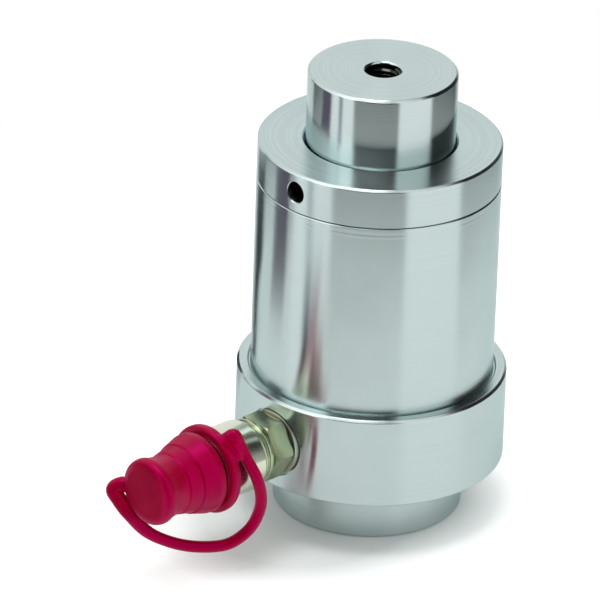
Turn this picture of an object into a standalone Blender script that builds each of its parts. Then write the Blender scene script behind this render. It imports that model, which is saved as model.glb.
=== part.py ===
"""Hydraulic cylinder: single acting, spring return, with a capped quick-coupling nipple.

The origin is the centre of the foot's bottom face, +Z runs up the ram and the coupling
points along -X. Lengths are metres. The ram is drawn in, and the dust cap is on.
"""

from math import cos, pi, radians, sin, sqrt

import bmesh
import bpy
from mathutils import Vector

# Clearance between pieces that touch, and facets round each kind of turned piece
GAP = 0.0003
BODY_FACETS = 40
RING_FACETS = 28
SMALL_FACETS = 20

# Ram: the size of the whole cylinder follows from it
RAM_RADIUS = 0.0275
RAM_PROUD = 0.0275
RAM_EDGE = 0.0009
RAM_WALL = 0.0095
SPIGOT_STEP = 0.0038
TAPPED_HOLE_RADIUS = 0.0066
TAPPED_HOLE_DEPTH = 0.020
TAPPED_HOLE_CHAMFER = 0.0012
DRILL_POINT = 0.0038
CROWN_THICKNESS = 0.0042
STROKE = 0.050

# Cylinder body
FOOT_HEIGHT = 0.021
FOOT_STEP = 0.010
FOOT_EDGE = 0.0008
COLLAR_HEIGHT = 0.035
COLLAR_STEP = 0.005
COLLAR_EDGE = 0.0009
BARREL_WALL = 0.0125
PISTON_SHOULDER_WIDTH = 0.005
FLOOR_RISE = 0.009
RELIEF_WIDTH = 0.0007
RELIEF_DEPTH = 0.0012
RELIEF_CHAMFER = 0.0004

# Gland nut and its three inner grooves
GLAND_THICKNESS = 0.0155
GLAND_EDGE = 0.0008
SKIRT_LENGTH = 0.0135
SKIRT_STEP = 0.0045
GLAND_PLAY = 0.0006
LAND = 0.0025
WIPER_LIP = 0.0024
WIPER_GROOVE_HEIGHT = 0.0046
WIPER_GROOVE_DEPTH = 0.0040
ROD_SEAL_GROOVE_HEIGHT = 0.0064
ROD_SEAL_GROOVE_DEPTH = 0.0055
RAM_GUIDE_GROOVE_DEPTH = 0.0032
O_RING_GROOVE_HEIGHT = 0.0032
O_RING_GROOVE_DEPTH = 0.0022
PIN_HOLE_RADIUS = 0.004
PIN_HOLE_DEPTH = 0.0075
PIN_HOLE_DROP = 0.0075
PIN_HOLE_ANGLE = radians(183)

# Piston
NOSE_MARGIN = 0.002
NOSE_STEP = 0.003
PISTON_SEAL_GROOVE_HEIGHT = 0.007
PISTON_SEAL_GROOVE_DEPTH = 0.0042
BACKUP_HEIGHT = 0.0016
PISTON_GUIDE_GROOVE_HEIGHT = 0.008
PISTON_GUIDE_GROOVE_DEPTH = 0.0026
PISTON_CROWN = 0.0047
LIP_NOTCH = 0.0016

# Return spring and the rod that it hangs on
ROD_RADIUS = 0.006
ROD_ANCHOR_DEPTH = 0.012
ROD_HEADROOM = 0.0015
ROD_TIP = 0.001
NUT_FLATS = 0.019
NUT_HEIGHT = 0.006
WASHER_THICKNESS = 0.002
WASHER_PLAY = 0.002
SEAT_HEIGHT = 0.010
SEAT_HOLE_RADIUS = 0.008
SPRING_PLAY = 0.0039
SPRING_WIRE = 0.0016
SPRING_TURNS = 9
SPRING_POINTS = 10

# Port and coupling adapter
PASSAGE_RADIUS = 0.0025
SPOTFACE_RADIUS = 0.0145
SPOTFACE_DEPTH = 0.0022
PORT_THREAD_RADIUS = 0.008
PORT_FLOOR = 0.0022
BONDED_SEAL_RADIUS = 0.0125
BONDED_SEAL_THICKNESS = 0.002
BONDED_METAL_WIDTH = 0.0026
HEX_FLATS = 0.022
HEX_LENGTH = 0.009
HEX_CHAMFER = 0.0007
ADAPTER_GROOVE_WIDTH = 0.001
ADAPTER_GROOVE_RADIUS = 0.0108
ADAPTER_FLANGE_RADIUS = 0.0124
ADAPTER_FLANGE_LENGTH = 0.0042
ADAPTER_BORE_RADIUS = 0.0035
STUB_RADIUS = 0.009
STUB_LENGTH = 0.0114
STUB_SOCKET_RADIUS = 0.006
STUB_SOCKET_DEPTH = 0.008
STUB_GROOVE_INSET = 0.002
STUB_GROOVE_WIDTH = 0.0024
STUB_GROOVE_DEPTH = 0.0015

# Nipple body and poppet
NECK_WALL = 0.0043
NECK_LENGTH = 0.0152
NECK_CHAMFER = 0.0008
RING_SEAT_STEP = 0.0006
LIP_WALL = 0.0054
LIP_LENGTH = 0.0066
FIRST_TAPER = 0.0028
NIPPLE_LAND_STEP = 0.0018
NIPPLE_LAND_LENGTH = 0.0032
SECOND_TAPER = 0.0019
NOSE_WALL = 0.0028
NOSE_LENGTH = 0.0046
NOSE_CHAMFER = 0.0006
MOUTH_RADIUS = 0.0065
MOUTH_DEPTH = 0.0075
THROAT_STEP = 0.0015
THROAT_LENGTH = 0.0019
SEAT_CONE_LENGTH = 0.0026
POPPET_CHAMBER_RADIUS = 0.0076
POPPET_PLAY = 0.0004
POPPET_STEM_RADIUS = 0.0025
POPPET_STEM_LENGTH = 0.007
POPPET_HEAD_LENGTH = 0.004
POPPET_GROOVE_INSET = 0.0011
POPPET_GROOVE_WIDTH = 0.0018
POPPET_GROOVE_DEPTH = 0.0013
POPPET_SPRING_RADIUS = 0.0044
POPPET_SPRING_WIRE = 0.0005
POPPET_SPRING_TURNS = 5
POPPET_SPRING_POINTS = 8

# Tether ring, strap and dust cap
RING_THICKNESS = 0.0042
RING_WALL = 0.0041
RING_EDGE = 0.0009
CAP_STANDOFF = 0.0018
CAP_WALL = 0.0019
CAP_END_PLAY = 0.0012
CAP_LENGTH = 0.0271
CAP_LIP_EDGE = 0.0005
CAP_STEP_HEIGHT = 0.0004
CAP_STEP_LENGTH = 0.0010
CAP_STEP_WALL = 0.0014
WAIST_WALL = 0.0017
WAIST_OUT = 0.0035
KNOB_RADIUS = 0.0128
KNOB_LENGTH = 0.0066
KNOB_EDGE = 0.0026
STRAP_RADIUS = 0.002
STRAP_SPACING = 0.0042

# Route of the strap's middle: outward from the cap's mouth, across, and up from the coupling axis
STRAP_ROUTE = (
    (-0.0048, -0.0060, 0.0136),
    (-0.0068, -0.0098, 0.0163),
    (-0.0088, -0.0138, 0.0145),
    (-0.0099, -0.0165, 0.0082),
    (-0.0123, -0.0181, 0.0006),
    (-0.0143, -0.0180, -0.0079),
    (-0.0143, -0.0170, -0.0149),
    (-0.0115, -0.0150, -0.0218),
    (-0.0049, -0.0115, -0.0268),
    (0.0039, -0.0065, -0.0271),
    (0.0124, -0.0010, -0.0249),
    (0.0206, 0.0045, -0.0198),
    (0.0264, 0.0100, -0.0128),
    (0.0286, 0.0142, -0.0072),
    (0.0284, 0.0168, -0.0036),
    (0.0262, 0.0164, -0.0015),
    (0.0240, 0.0132, -0.0008),
    (0.0220, 0.0090, -0.0005),
)
STRAP_ROOT_SHARE = 0.115
STRAP_TIP_SHARE = 0.948

# Radii round the ram's axis
bore_radius = RAM_RADIUS + PISTON_SHOULDER_WIDTH
barrel_radius = bore_radius + BARREL_WALL
collar_radius = barrel_radius + COLLAR_STEP
foot_radius = barrel_radius - FOOT_STEP
gland_thread_radius = bore_radius + SKIRT_STEP
skirt_radius = gland_thread_radius - GAP
gland_hole_radius = RAM_RADIUS + GLAND_PLAY
ram_spigot_radius = RAM_RADIUS - SPIGOT_STEP
ram_bore_radius = RAM_RADIUS - RAM_WALL
piston_radius = bore_radius - GAP
spring_radius = ram_bore_radius - SPRING_PLAY - SPRING_WIRE

# Heights up the ram's axis
collar_top = FOOT_HEIGHT + COLLAR_HEIGHT
chamber_floor = FOOT_HEIGHT + FLOOR_RISE
coupling_height = FOOT_HEIGHT + COLLAR_HEIGHT / 2
piston_bottom = chamber_floor + GAP
piston_nose_top = coupling_height + PASSAGE_RADIUS + NOSE_MARGIN
piston_seal_bottom = piston_nose_top + LAND
piston_seal_top = piston_seal_bottom + PISTON_SEAL_GROOVE_HEIGHT
piston_guide_bottom = piston_seal_top + LAND
piston_guide_top = piston_guide_bottom + PISTON_GUIDE_GROOVE_HEIGHT
piston_top = piston_guide_top + PISTON_CROWN
skirt_bottom = piston_top + STROKE + GAP
barrel_top = skirt_bottom + SKIRT_LENGTH
gland_top = barrel_top + GLAND_THICKNESS
ram_top = gland_top + RAM_PROUD
ram_bottom = piston_bottom + ROD_TIP
ram_bore_top = ram_top - TAPPED_HOLE_DEPTH - DRILL_POINT - CROWN_THICKNESS
rod_top = ram_bore_top - ROD_HEADROOM
rod_nut_bottom = rod_top - ROD_TIP - NUT_HEIGHT
spring_washer_bottom = rod_nut_bottom - GAP - WASHER_THICKNESS
spring_seat_top = ram_bottom + SEAT_HEIGHT

# Radii round the coupling axis
neck_radius = STUB_RADIUS + GAP + NECK_WALL
lip_radius = POPPET_CHAMBER_RADIUS + LIP_WALL
nipple_land_radius = lip_radius - NIPPLE_LAND_STEP
nose_radius = MOUTH_RADIUS + NOSE_WALL
throat_radius = MOUTH_RADIUS - THROAT_STEP
ring_seat_radius = lip_radius - RING_SEAT_STEP
ring_outer_radius = ring_seat_radius + GAP + RING_WALL

# Distances out along the coupling axis, from the ram's axis
spotface = collar_radius - SPOTFACE_DEPTH
bonded_seal_out = spotface + GAP + BONDED_SEAL_THICKNESS
hex_in = bonded_seal_out + GAP
hex_out = hex_in + HEX_LENGTH
flange_in = hex_out + ADAPTER_GROOVE_WIDTH
flange_out = flange_in + ADAPTER_FLANGE_LENGTH
port_thread_in = bore_radius + PORT_FLOOR + GAP
stub_out = flange_out + STUB_LENGTH
nipple_in = flange_out + GAP
neck_out = nipple_in + NECK_LENGTH
ring_in = neck_out + GAP
ring_out = ring_in + RING_THICKNESS
ring_seat_out = ring_out + GAP
cap_mouth = ring_out + CAP_STANDOFF
lip_out = ring_seat_out + LIP_LENGTH
nipple_land_in = lip_out + FIRST_TAPER
nipple_land_out = nipple_land_in + NIPPLE_LAND_LENGTH
nose_in = nipple_land_out + SECOND_TAPER
nipple_out = nose_in + NOSE_LENGTH
throat_out = nipple_out - MOUTH_DEPTH
throat_in = throat_out - THROAT_LENGTH
seat_cone_in = throat_in - SEAT_CONE_LENGTH
cap_cavity_out = nipple_out + CAP_END_PLAY
cap_out = cap_mouth + CAP_LENGTH

FINISHES = {
    "machined_steel": ((0.71, 0.74, 0.73), 1.0, 0.28),
    "ground_steel": ((0.76, 0.77, 0.77), 1.0, 0.18),
    "plain_steel": ((0.52, 0.53, 0.54), 1.0, 0.35),
    "spring_steel": ((0.35, 0.36, 0.38), 1.0, 0.38),
    "zinc_plate": ((0.62, 0.66, 0.52), 1.0, 0.30),
    "nickel_plate": ((0.74, 0.76, 0.75), 1.0, 0.22),
    "black_rubber": ((0.03, 0.03, 0.03), 0.0, 0.6),
    "seal_polyurethane": ((0.10, 0.22, 0.42), 0.0, 0.45),
    "guide_strip": ((0.40, 0.31, 0.20), 0.0, 0.5),
    "red_plastic": ((0.62, 0.02, 0.07), 0.0, 0.38),
}


def clear_scene():
    for obj in list(bpy.data.objects):
        bpy.data.objects.remove(obj, do_unlink=True)


def new_collection(name, hidden=False):
    collection = bpy.data.collections.new(name)
    bpy.context.scene.collection.children.link(collection)
    collection.hide_render = hidden
    return collection


def finish(name):
    """A Principled material for one piece."""
    colour, metallic, roughness = FINISHES[name]
    material = bpy.data.materials.new(name)
    material.use_nodes = True
    shader = material.node_tree.nodes["Principled BSDF"]
    shader.inputs["Base Color"].default_value = (*colour, 1.0)
    shader.inputs["Metallic"].default_value = metallic
    shader.inputs["Roughness"].default_value = roughness
    material.diffuse_color = (*colour, 1.0)
    return material


def move_to(obj, collection):
    for held in list(obj.users_collection):
        held.objects.unlink(obj)
    collection.objects.link(obj)


def make_cutter(obj):
    move_to(obj, cutters)
    obj.hide_render = True
    obj.display_type = "WIRE"
    return obj


def turned(name, profile, facets, closed=False):
    """Solid turned from (radius, height) points: down its outer side, closed for a ring."""
    mesh = bpy.data.meshes.new(name)
    drawing = bmesh.new()
    points = [drawing.verts.new((radius, 0.0, height)) for radius, height in profile]
    ends = points[1:] + points[:1] if closed else points[1:]
    for first, second in zip(points, ends):
        drawing.edges.new((first, second))
    drawing.to_mesh(mesh)
    drawing.free()
    obj = bpy.data.objects.new(name, mesh)
    pieces.objects.link(obj)
    screw = obj.modifiers.new("Turn", "SCREW")
    screw.steps = facets
    screw.render_steps = facets
    screw.use_merge_vertices = True
    screw.merge_threshold = 0.00001
    screw.use_smooth_shade = False
    return obj


def ring_profile(inner, outer, bottom, top):
    return [(outer, top), (outer, bottom), (inner, bottom), (inner, top)]


def o_ring(name, inner, outer, middle, facets):
    """Round-section ring between a groove's bottom and the wall that closes it."""
    section = (outer - inner) / 2 - GAP
    centre = (outer + inner) / 2
    sides = 6
    profile = []
    for step in range(sides):
        angle = pi / 2 - 2 * pi * step / sides
        profile.append((centre + section * cos(angle), middle + section * sin(angle)))
    return turned(name, profile, facets, closed=True)


def cylinder(name, radius, start, end, facets=RING_FACETS):
    """Cylinder between two points."""
    run = Vector(end) - Vector(start)
    bpy.ops.mesh.primitive_cylinder_add(vertices=facets, radius=radius, depth=run.length)
    obj = bpy.context.object
    obj.name = name
    obj.location = (Vector(start) + Vector(end)) / 2
    obj.rotation_mode = "QUATERNION"
    obj.rotation_quaternion = run.to_track_quat("Z", "Y")
    return obj


def hexagon(name, flats, bottom, top):
    """Six-sided prism on the local Z axis, with a pair of flats facing local +X and -X."""
    bpy.ops.mesh.primitive_cylinder_add(
        vertices=6, radius=flats / sqrt(3), depth=top - bottom, location=(0, 0, (top + bottom) / 2)
    )
    obj = bpy.context.object
    obj.name = name
    return obj


def boolean(obj, other, operation="DIFFERENCE"):
    modifier = obj.modifiers.new(other.name, "BOOLEAN")
    modifier.operation = operation
    modifier.object = other
    modifier.solver = "EXACT"


def tube_curve(name, points, radius, resolution=2):
    curve = bpy.data.curves.new(name, "CURVE")
    curve.dimensions = "3D"
    curve.bevel_depth = radius
    curve.bevel_resolution = resolution
    curve.use_fill_caps = True
    spline = curve.splines.new("POLY")
    spline.points.add(len(points) - 1)
    for held, point in zip(spline.points, points):
        held.co = (*point, 1.0)
    obj = bpy.data.objects.new(name, curve)
    pieces.objects.link(obj)
    return obj


def as_mesh(curve_object):
    """The same tube as one closed mesh, so that it can be joined to a solid."""
    bpy.context.view_layer.update()
    graph = bpy.context.evaluated_depsgraph_get()
    mesh = bpy.data.meshes.new_from_object(curve_object.evaluated_get(graph))
    welded = bmesh.new()
    welded.from_mesh(mesh)
    bmesh.ops.remove_doubles(welded, verts=welded.verts, dist=0.00001)
    bmesh.ops.recalc_face_normals(welded, faces=welded.faces)
    welded.to_mesh(mesh)
    welded.free()
    obj = bpy.data.objects.new(curve_object.name + "_mesh", mesh)
    obj.matrix_world = curve_object.matrix_world
    pieces.objects.link(obj)
    bpy.data.objects.remove(curve_object, do_unlink=True)
    return obj


def coil_points(radius, wire, turns, per_turn, bottom, top):
    """Points up a compression spring whose end turns lie close to its seats."""
    closed_pitch = 2 * wire + GAP
    low = bottom + wire
    high = top - wire
    open_turns = turns - 2
    open_pitch = (high - low - 2 * closed_pitch) / open_turns
    points = []
    for step in range(turns * per_turn + 1):
        turn = step / per_turn
        rise = closed_pitch * min(turn, 1)
        rise += open_pitch * max(0, min(turn - 1, open_turns))
        rise += closed_pitch * max(0, turn - 1 - open_turns)
        angle = 2 * pi * turn
        points.append((radius * cos(angle), radius * sin(angle), low + rise))
    return points


def shade(obj):
    """Bakes the modifiers of a turned piece and smooths its round faces."""
    bpy.context.view_layer.update()
    graph = bpy.context.evaluated_depsgraph_get()
    mesh = bpy.data.meshes.new_from_object(obj.evaluated_get(graph))
    obj.modifiers.clear()
    obj.data = mesh
    mesh.name = obj.name
    mesh.shade_smooth()
    mesh.set_sharp_from_angle(angle=radians(25))


def dress(obj, name, look, parent=None):
    """Names a finished piece, gives it its material and hangs it on its axis."""
    obj.name = name
    obj.data.name = name
    obj.data.materials.clear()
    obj.data.materials.append(finish(look))
    move_to(obj, pieces)
    obj.parent = parent
    return obj


def make_axis(name, location, rotation=(0, 0, 0)):
    axis = bpy.data.objects.new(name, None)
    axis.location = location
    axis.rotation_euler = rotation
    pieces.objects.link(axis)
    return axis


def outward(distance, across=0.0, up=0.0):
    """Point at a distance out along the coupling axis."""
    return Vector((-distance, across, coupling_height + up))


def cylinder_body():
    anchor_bottom = chamber_floor - ROD_ANCHOR_DEPTH - GAP
    ledge = skirt_bottom - GAP
    relief_radius = barrel_radius + RELIEF_WIDTH
    profile = [
        (0, anchor_bottom),
        (ROD_RADIUS + GAP, anchor_bottom),
        (ROD_RADIUS + GAP, chamber_floor),
        (bore_radius, chamber_floor),
        (bore_radius, ledge),
        (gland_thread_radius, ledge),
        (gland_thread_radius, barrel_top),
        (barrel_radius, barrel_top),
        (barrel_radius, collar_top - RELIEF_DEPTH),
        (relief_radius, collar_top - RELIEF_DEPTH),
        (relief_radius, collar_top - RELIEF_CHAMFER),
        (relief_radius + RELIEF_CHAMFER, collar_top),
        (collar_radius - COLLAR_EDGE, collar_top),
        (collar_radius, collar_top - COLLAR_EDGE),
        (collar_radius, FOOT_HEIGHT + COLLAR_EDGE),
        (collar_radius - COLLAR_EDGE, FOOT_HEIGHT),
        (foot_radius, FOOT_HEIGHT),
        (foot_radius, FOOT_EDGE),
        (foot_radius - FOOT_EDGE, 0),
        (0, 0),
    ]
    body = turned("cylinder_body", profile, BODY_FACETS)
    clear = collar_radius + SPOTFACE_RADIUS
    cuts = [
        cylinder("spotface_cutter", SPOTFACE_RADIUS, outward(spotface), outward(clear)),
        cylinder(
            "port_cutter",
            PORT_THREAD_RADIUS + GAP,
            outward(port_thread_in - GAP),
            outward(clear),
        ),
        cylinder(
            "passage_cutter",
            PASSAGE_RADIUS,
            outward(bore_radius - NOSE_STEP / 2),
            outward(spotface),
            SMALL_FACETS,
        ),
    ]
    for cut in cuts:
        boolean(body, make_cutter(cut))
    shade(body)
    return dress(body, "cylinder_body", "machined_steel")


def gland_nut():
    wiper_top = gland_top - WIPER_LIP
    wiper_bottom = wiper_top - WIPER_GROOVE_HEIGHT
    seal_top = wiper_bottom - LAND
    seal_bottom = seal_top - ROD_SEAL_GROOVE_HEIGHT
    guide_top = seal_bottom - LAND
    guide_bottom = skirt_bottom + LAND
    o_ring_bottom = skirt_bottom + LAND
    o_ring_top = o_ring_bottom + O_RING_GROOVE_HEIGHT
    wiper_radius = RAM_RADIUS + WIPER_GROOVE_DEPTH
    seal_radius = RAM_RADIUS + ROD_SEAL_GROOVE_DEPTH
    guide_radius = RAM_RADIUS + RAM_GUIDE_GROOVE_DEPTH
    o_ring_radius = skirt_radius - O_RING_GROOVE_DEPTH
    profile = [
        (gland_hole_radius, gland_top),
        (barrel_radius - GLAND_EDGE, gland_top),
        (barrel_radius, gland_top - GLAND_EDGE),
        (barrel_radius, barrel_top + GAP),
        (skirt_radius, barrel_top + GAP),
        (skirt_radius, o_ring_top),
        (o_ring_radius, o_ring_top),
        (o_ring_radius, o_ring_bottom),
        (skirt_radius, o_ring_bottom),
        (skirt_radius, skirt_bottom),
        (gland_hole_radius, skirt_bottom),
        (gland_hole_radius, guide_bottom),
        (guide_radius, guide_bottom),
        (guide_radius, guide_top),
        (gland_hole_radius, guide_top),
        (gland_hole_radius, seal_bottom),
        (seal_radius, seal_bottom),
        (seal_radius, seal_top),
        (gland_hole_radius, seal_top),
        (gland_hole_radius, wiper_bottom),
        (wiper_radius, wiper_bottom),
        (wiper_radius, wiper_top),
        (gland_hole_radius, wiper_top),
    ]
    gland = turned("gland_nut", profile, BODY_FACETS, closed=True)
    for side in (0, pi):
        angle = PIN_HOLE_ANGLE + side
        towards = Vector((cos(angle), sin(angle), 0))
        height = Vector((0, 0, gland_top - PIN_HOLE_DROP))
        start = towards * (barrel_radius - PIN_HOLE_DEPTH) + height
        end = towards * (barrel_radius + PIN_HOLE_DEPTH) + height
        boolean(gland, make_cutter(cylinder("pin_hole_cutter", PIN_HOLE_RADIUS, start, end, 16)))
    shade(gland)
    dress(gland, "gland_nut", "machined_steel")

    inner = RAM_RADIUS + GAP
    wiper_profile = [
        (wiper_radius - GAP, wiper_top - GAP),
        (wiper_radius - GAP, wiper_bottom + GAP),
        (inner + LIP_NOTCH, wiper_bottom + GAP),
        (inner, wiper_top - GAP - LIP_NOTCH),
        (inner, wiper_top - GAP),
    ]
    wiper = turned("wiper_ring", wiper_profile, RING_FACETS, closed=True)
    shade(wiper)
    dress(wiper, "wiper_ring", "seal_polyurethane")

    seal_middle = (inner + seal_radius - GAP) / 2
    seal_profile = [
        (seal_radius - GAP, seal_top - GAP),
        (seal_radius - GAP, seal_bottom + GAP),
        (seal_middle, seal_bottom + GAP + LIP_NOTCH),
        (inner, seal_bottom + GAP),
        (inner, seal_top - GAP),
    ]
    seal = turned("rod_seal", seal_profile, RING_FACETS, closed=True)
    shade(seal)
    dress(seal, "rod_seal", "seal_polyurethane")

    guide_profile = ring_profile(inner, guide_radius - GAP, guide_bottom + GAP, guide_top - GAP)
    guide = turned("ram_guide_ring", guide_profile, RING_FACETS, closed=True)
    shade(guide)
    dress(guide, "ram_guide_ring", "guide_strip")

    ring_middle = (o_ring_bottom + o_ring_top) / 2
    ring = o_ring("gland_o_ring", o_ring_radius, gland_thread_radius, ring_middle, RING_FACETS)
    shade(ring)
    dress(ring, "gland_o_ring", "black_rubber")


def ram(axis):
    hole_bottom = ram_top - TAPPED_HOLE_DEPTH
    shoulder = piston_top + GAP
    profile = [
        (0, hole_bottom - DRILL_POINT),
        (TAPPED_HOLE_RADIUS, hole_bottom),
        (TAPPED_HOLE_RADIUS, ram_top - TAPPED_HOLE_CHAMFER),
        (TAPPED_HOLE_RADIUS + TAPPED_HOLE_CHAMFER, ram_top),
        (RAM_RADIUS - RAM_EDGE, ram_top),
        (RAM_RADIUS, ram_top - RAM_EDGE),
        (RAM_RADIUS, shoulder),
        (ram_spigot_radius, shoulder),
        (ram_spigot_radius, ram_bottom),
        (ram_bore_radius, ram_bottom),
        (ram_bore_radius, ram_bore_top),
        (0, ram_bore_top),
    ]
    solid = turned("ram", profile, BODY_FACETS)
    shade(solid)
    dress(solid, "ram", "ground_steel", axis)

    seat_profile = ring_profile(
        SEAT_HOLE_RADIUS, ram_bore_radius - GAP, ram_bottom + GAP, spring_seat_top
    )
    seat = turned("spring_seat", seat_profile, RING_FACETS, closed=True)
    shade(seat)
    dress(seat, "spring_seat", "plain_steel", axis)


def piston(axis):
    seal_radius = piston_radius - PISTON_SEAL_GROOVE_DEPTH
    guide_radius = piston_radius - PISTON_GUIDE_GROOVE_DEPTH
    piston_nose_radius = bore_radius - NOSE_STEP
    profile = [
        (piston_radius, piston_top),
        (piston_radius, piston_guide_top),
        (guide_radius, piston_guide_top),
        (guide_radius, piston_guide_bottom),
        (piston_radius, piston_guide_bottom),
        (piston_radius, piston_seal_top),
        (seal_radius, piston_seal_top),
        (seal_radius, piston_seal_bottom),
        (piston_radius, piston_seal_bottom),
        (piston_radius, piston_nose_top),
        (piston_nose_radius, piston_nose_top),
        (piston_nose_radius, piston_bottom),
        (ram_spigot_radius + GAP, piston_bottom),
        (ram_spigot_radius + GAP, piston_top),
    ]
    solid = turned("piston", profile, RING_FACETS, closed=True)
    shade(solid)
    dress(solid, "piston", "plain_steel", axis)

    inner = seal_radius + GAP
    backup_top = piston_seal_top - GAP
    backup_bottom = backup_top - BACKUP_HEIGHT
    backup_profile = ring_profile(inner, piston_radius, backup_bottom, backup_top)
    backup = turned("piston_backup_ring", backup_profile, RING_FACETS, closed=True)
    shade(backup)
    dress(backup, "piston_backup_ring", "guide_strip", axis)

    seal_top = backup_bottom - GAP
    seal_bottom = piston_seal_bottom + GAP
    seal_profile = [
        (piston_radius, seal_top),
        (piston_radius, seal_bottom),
        ((inner + piston_radius) / 2, seal_bottom + LIP_NOTCH),
        (inner, seal_bottom),
        (inner, seal_top),
    ]
    seal = turned("piston_seal", seal_profile, RING_FACETS, closed=True)
    shade(seal)
    dress(seal, "piston_seal", "seal_polyurethane", axis)

    guide_profile = ring_profile(
        guide_radius + GAP, piston_radius, piston_guide_bottom + GAP, piston_guide_top - GAP
    )
    guide = turned("piston_guide_ring", guide_profile, RING_FACETS, closed=True)
    shade(guide)
    dress(guide, "piston_guide_ring", "guide_strip", axis)


def return_spring():
    rod_bottom = chamber_floor - ROD_ANCHOR_DEPTH
    rod_profile = [
        (0, rod_top),
        (ROD_RADIUS - ROD_TIP, rod_top),
        (ROD_RADIUS, rod_top - ROD_TIP),
        (ROD_RADIUS, rod_bottom),
        (0, rod_bottom),
    ]
    rod = turned("spring_rod", rod_profile, SMALL_FACETS)
    shade(rod)
    dress(rod, "spring_rod", "plain_steel")

    nut = hexagon("rod_nut", NUT_FLATS, rod_nut_bottom, rod_nut_bottom + NUT_HEIGHT)
    hole_start = (0, 0, rod_nut_bottom - NUT_HEIGHT)
    hole_end = (0, 0, rod_nut_bottom + 2 * NUT_HEIGHT)
    hole = cylinder("rod_nut_cutter", ROD_RADIUS + GAP, hole_start, hole_end, SMALL_FACETS)
    boolean(nut, make_cutter(hole))
    shade(nut)
    dress(nut, "rod_nut", "zinc_plate")

    washer_top = spring_washer_bottom + WASHER_THICKNESS
    washer_profile = ring_profile(
        ROD_RADIUS + GAP, ram_bore_radius - WASHER_PLAY, spring_washer_bottom, washer_top
    )
    washer = turned("spring_washer", washer_profile, SMALL_FACETS, closed=True)
    shade(washer)
    dress(washer, "spring_washer", "zinc_plate")

    points = coil_points(
        spring_radius,
        SPRING_WIRE,
        SPRING_TURNS,
        SPRING_POINTS,
        spring_seat_top + GAP,
        spring_washer_bottom - GAP,
    )
    dress(tube_curve("return_spring", points, SPRING_WIRE), "return_spring", "spring_steel")


def bonded_seal(axis):
    metal_in = BONDED_SEAL_RADIUS - BONDED_METAL_WIDTH
    low = spotface + GAP
    metal_profile = ring_profile(metal_in, BONDED_SEAL_RADIUS, low, bonded_seal_out)
    metal = turned("seal_washer", metal_profile, RING_FACETS, closed=True)
    shade(metal)
    dress(metal, "seal_washer", "zinc_plate", axis)
    rubber_profile = ring_profile(PORT_THREAD_RADIUS + GAP, metal_in - GAP, low, bonded_seal_out)
    rubber = turned("seal_rubber", rubber_profile, SMALL_FACETS, closed=True)
    shade(rubber)
    dress(rubber, "seal_rubber", "black_rubber", axis)


def coupling_adapter(axis):
    corner = HEX_FLATS / sqrt(3)
    chamfer_run = HEX_CHAMFER * sqrt(3)
    socket_bottom = stub_out - STUB_SOCKET_DEPTH
    groove_out = stub_out - STUB_GROOVE_INSET
    groove_in = groove_out - STUB_GROOVE_WIDTH
    groove_radius = STUB_RADIUS - STUB_GROOVE_DEPTH
    profile = [
        (STUB_SOCKET_RADIUS, stub_out),
        (STUB_RADIUS, stub_out),
        (STUB_RADIUS, groove_out),
        (groove_radius, groove_out),
        (groove_radius, groove_in),
        (STUB_RADIUS, groove_in),
        (STUB_RADIUS, flange_out),
        (ADAPTER_FLANGE_RADIUS, flange_out),
        (ADAPTER_FLANGE_RADIUS, flange_in),
        (ADAPTER_GROOVE_RADIUS, flange_in),
        (ADAPTER_GROOVE_RADIUS, hex_out),
        (corner - chamfer_run, hex_out),
        (corner, hex_out - HEX_CHAMFER),
        (corner, hex_in + HEX_CHAMFER),
        (corner - chamfer_run, hex_in),
        (PORT_THREAD_RADIUS, hex_in),
        (PORT_THREAD_RADIUS, port_thread_in),
        (ADAPTER_BORE_RADIUS, port_thread_in),
        (ADAPTER_BORE_RADIUS, socket_bottom),
        (STUB_SOCKET_RADIUS, socket_bottom),
    ]
    adapter = turned("coupling_adapter", profile, RING_FACETS, closed=True)
    cutter_profile = ring_profile(ADAPTER_GROOVE_RADIUS - GAP, 2 * corner, hex_in, hex_out)
    flats = turned("hexagon_cutter", cutter_profile, RING_FACETS, closed=True)
    kept = make_cutter(hexagon("hexagon_kept", HEX_FLATS, hex_in - HEX_LENGTH, hex_out + HEX_LENGTH))
    kept.parent = axis
    flats.parent = axis
    adapter.parent = axis
    boolean(flats, kept)
    boolean(adapter, make_cutter(flats))
    shade(adapter)
    dress(adapter, "coupling_adapter", "zinc_plate", axis)

    ring_middle = (groove_in + groove_out) / 2
    ring = o_ring("nipple_o_ring", groove_radius, STUB_RADIUS + GAP, ring_middle, SMALL_FACETS)
    shade(ring)
    dress(ring, "nipple_o_ring", "black_rubber", axis)


def nipple_body(axis):
    profile = [
        (MOUTH_RADIUS + NOSE_CHAMFER, nipple_out),
        (nose_radius - NOSE_CHAMFER, nipple_out),
        (nose_radius, nipple_out - NOSE_CHAMFER),
        (nose_radius, nose_in),
        (nipple_land_radius, nipple_land_out),
        (nipple_land_radius, nipple_land_in),
        (lip_radius, lip_out),
        (lip_radius, ring_seat_out),
        (ring_seat_radius, ring_seat_out),
        (ring_seat_radius, neck_out),
        (neck_radius, neck_out),
        (neck_radius, nipple_in + NECK_CHAMFER),
        (neck_radius - NECK_CHAMFER, nipple_in),
        (STUB_RADIUS + GAP, nipple_in),
        (STUB_RADIUS + GAP, stub_out + GAP),
        (POPPET_CHAMBER_RADIUS, stub_out + GAP),
        (POPPET_CHAMBER_RADIUS, seat_cone_in),
        (throat_radius, throat_in),
        (throat_radius, throat_out),
        (MOUTH_RADIUS, throat_out),
        (MOUTH_RADIUS, nipple_out - NOSE_CHAMFER),
    ]
    nipple = turned("nipple_body", profile, RING_FACETS, closed=True)
    shade(nipple)
    return dress(nipple, "nipple_body", "nickel_plate", axis)


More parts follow.
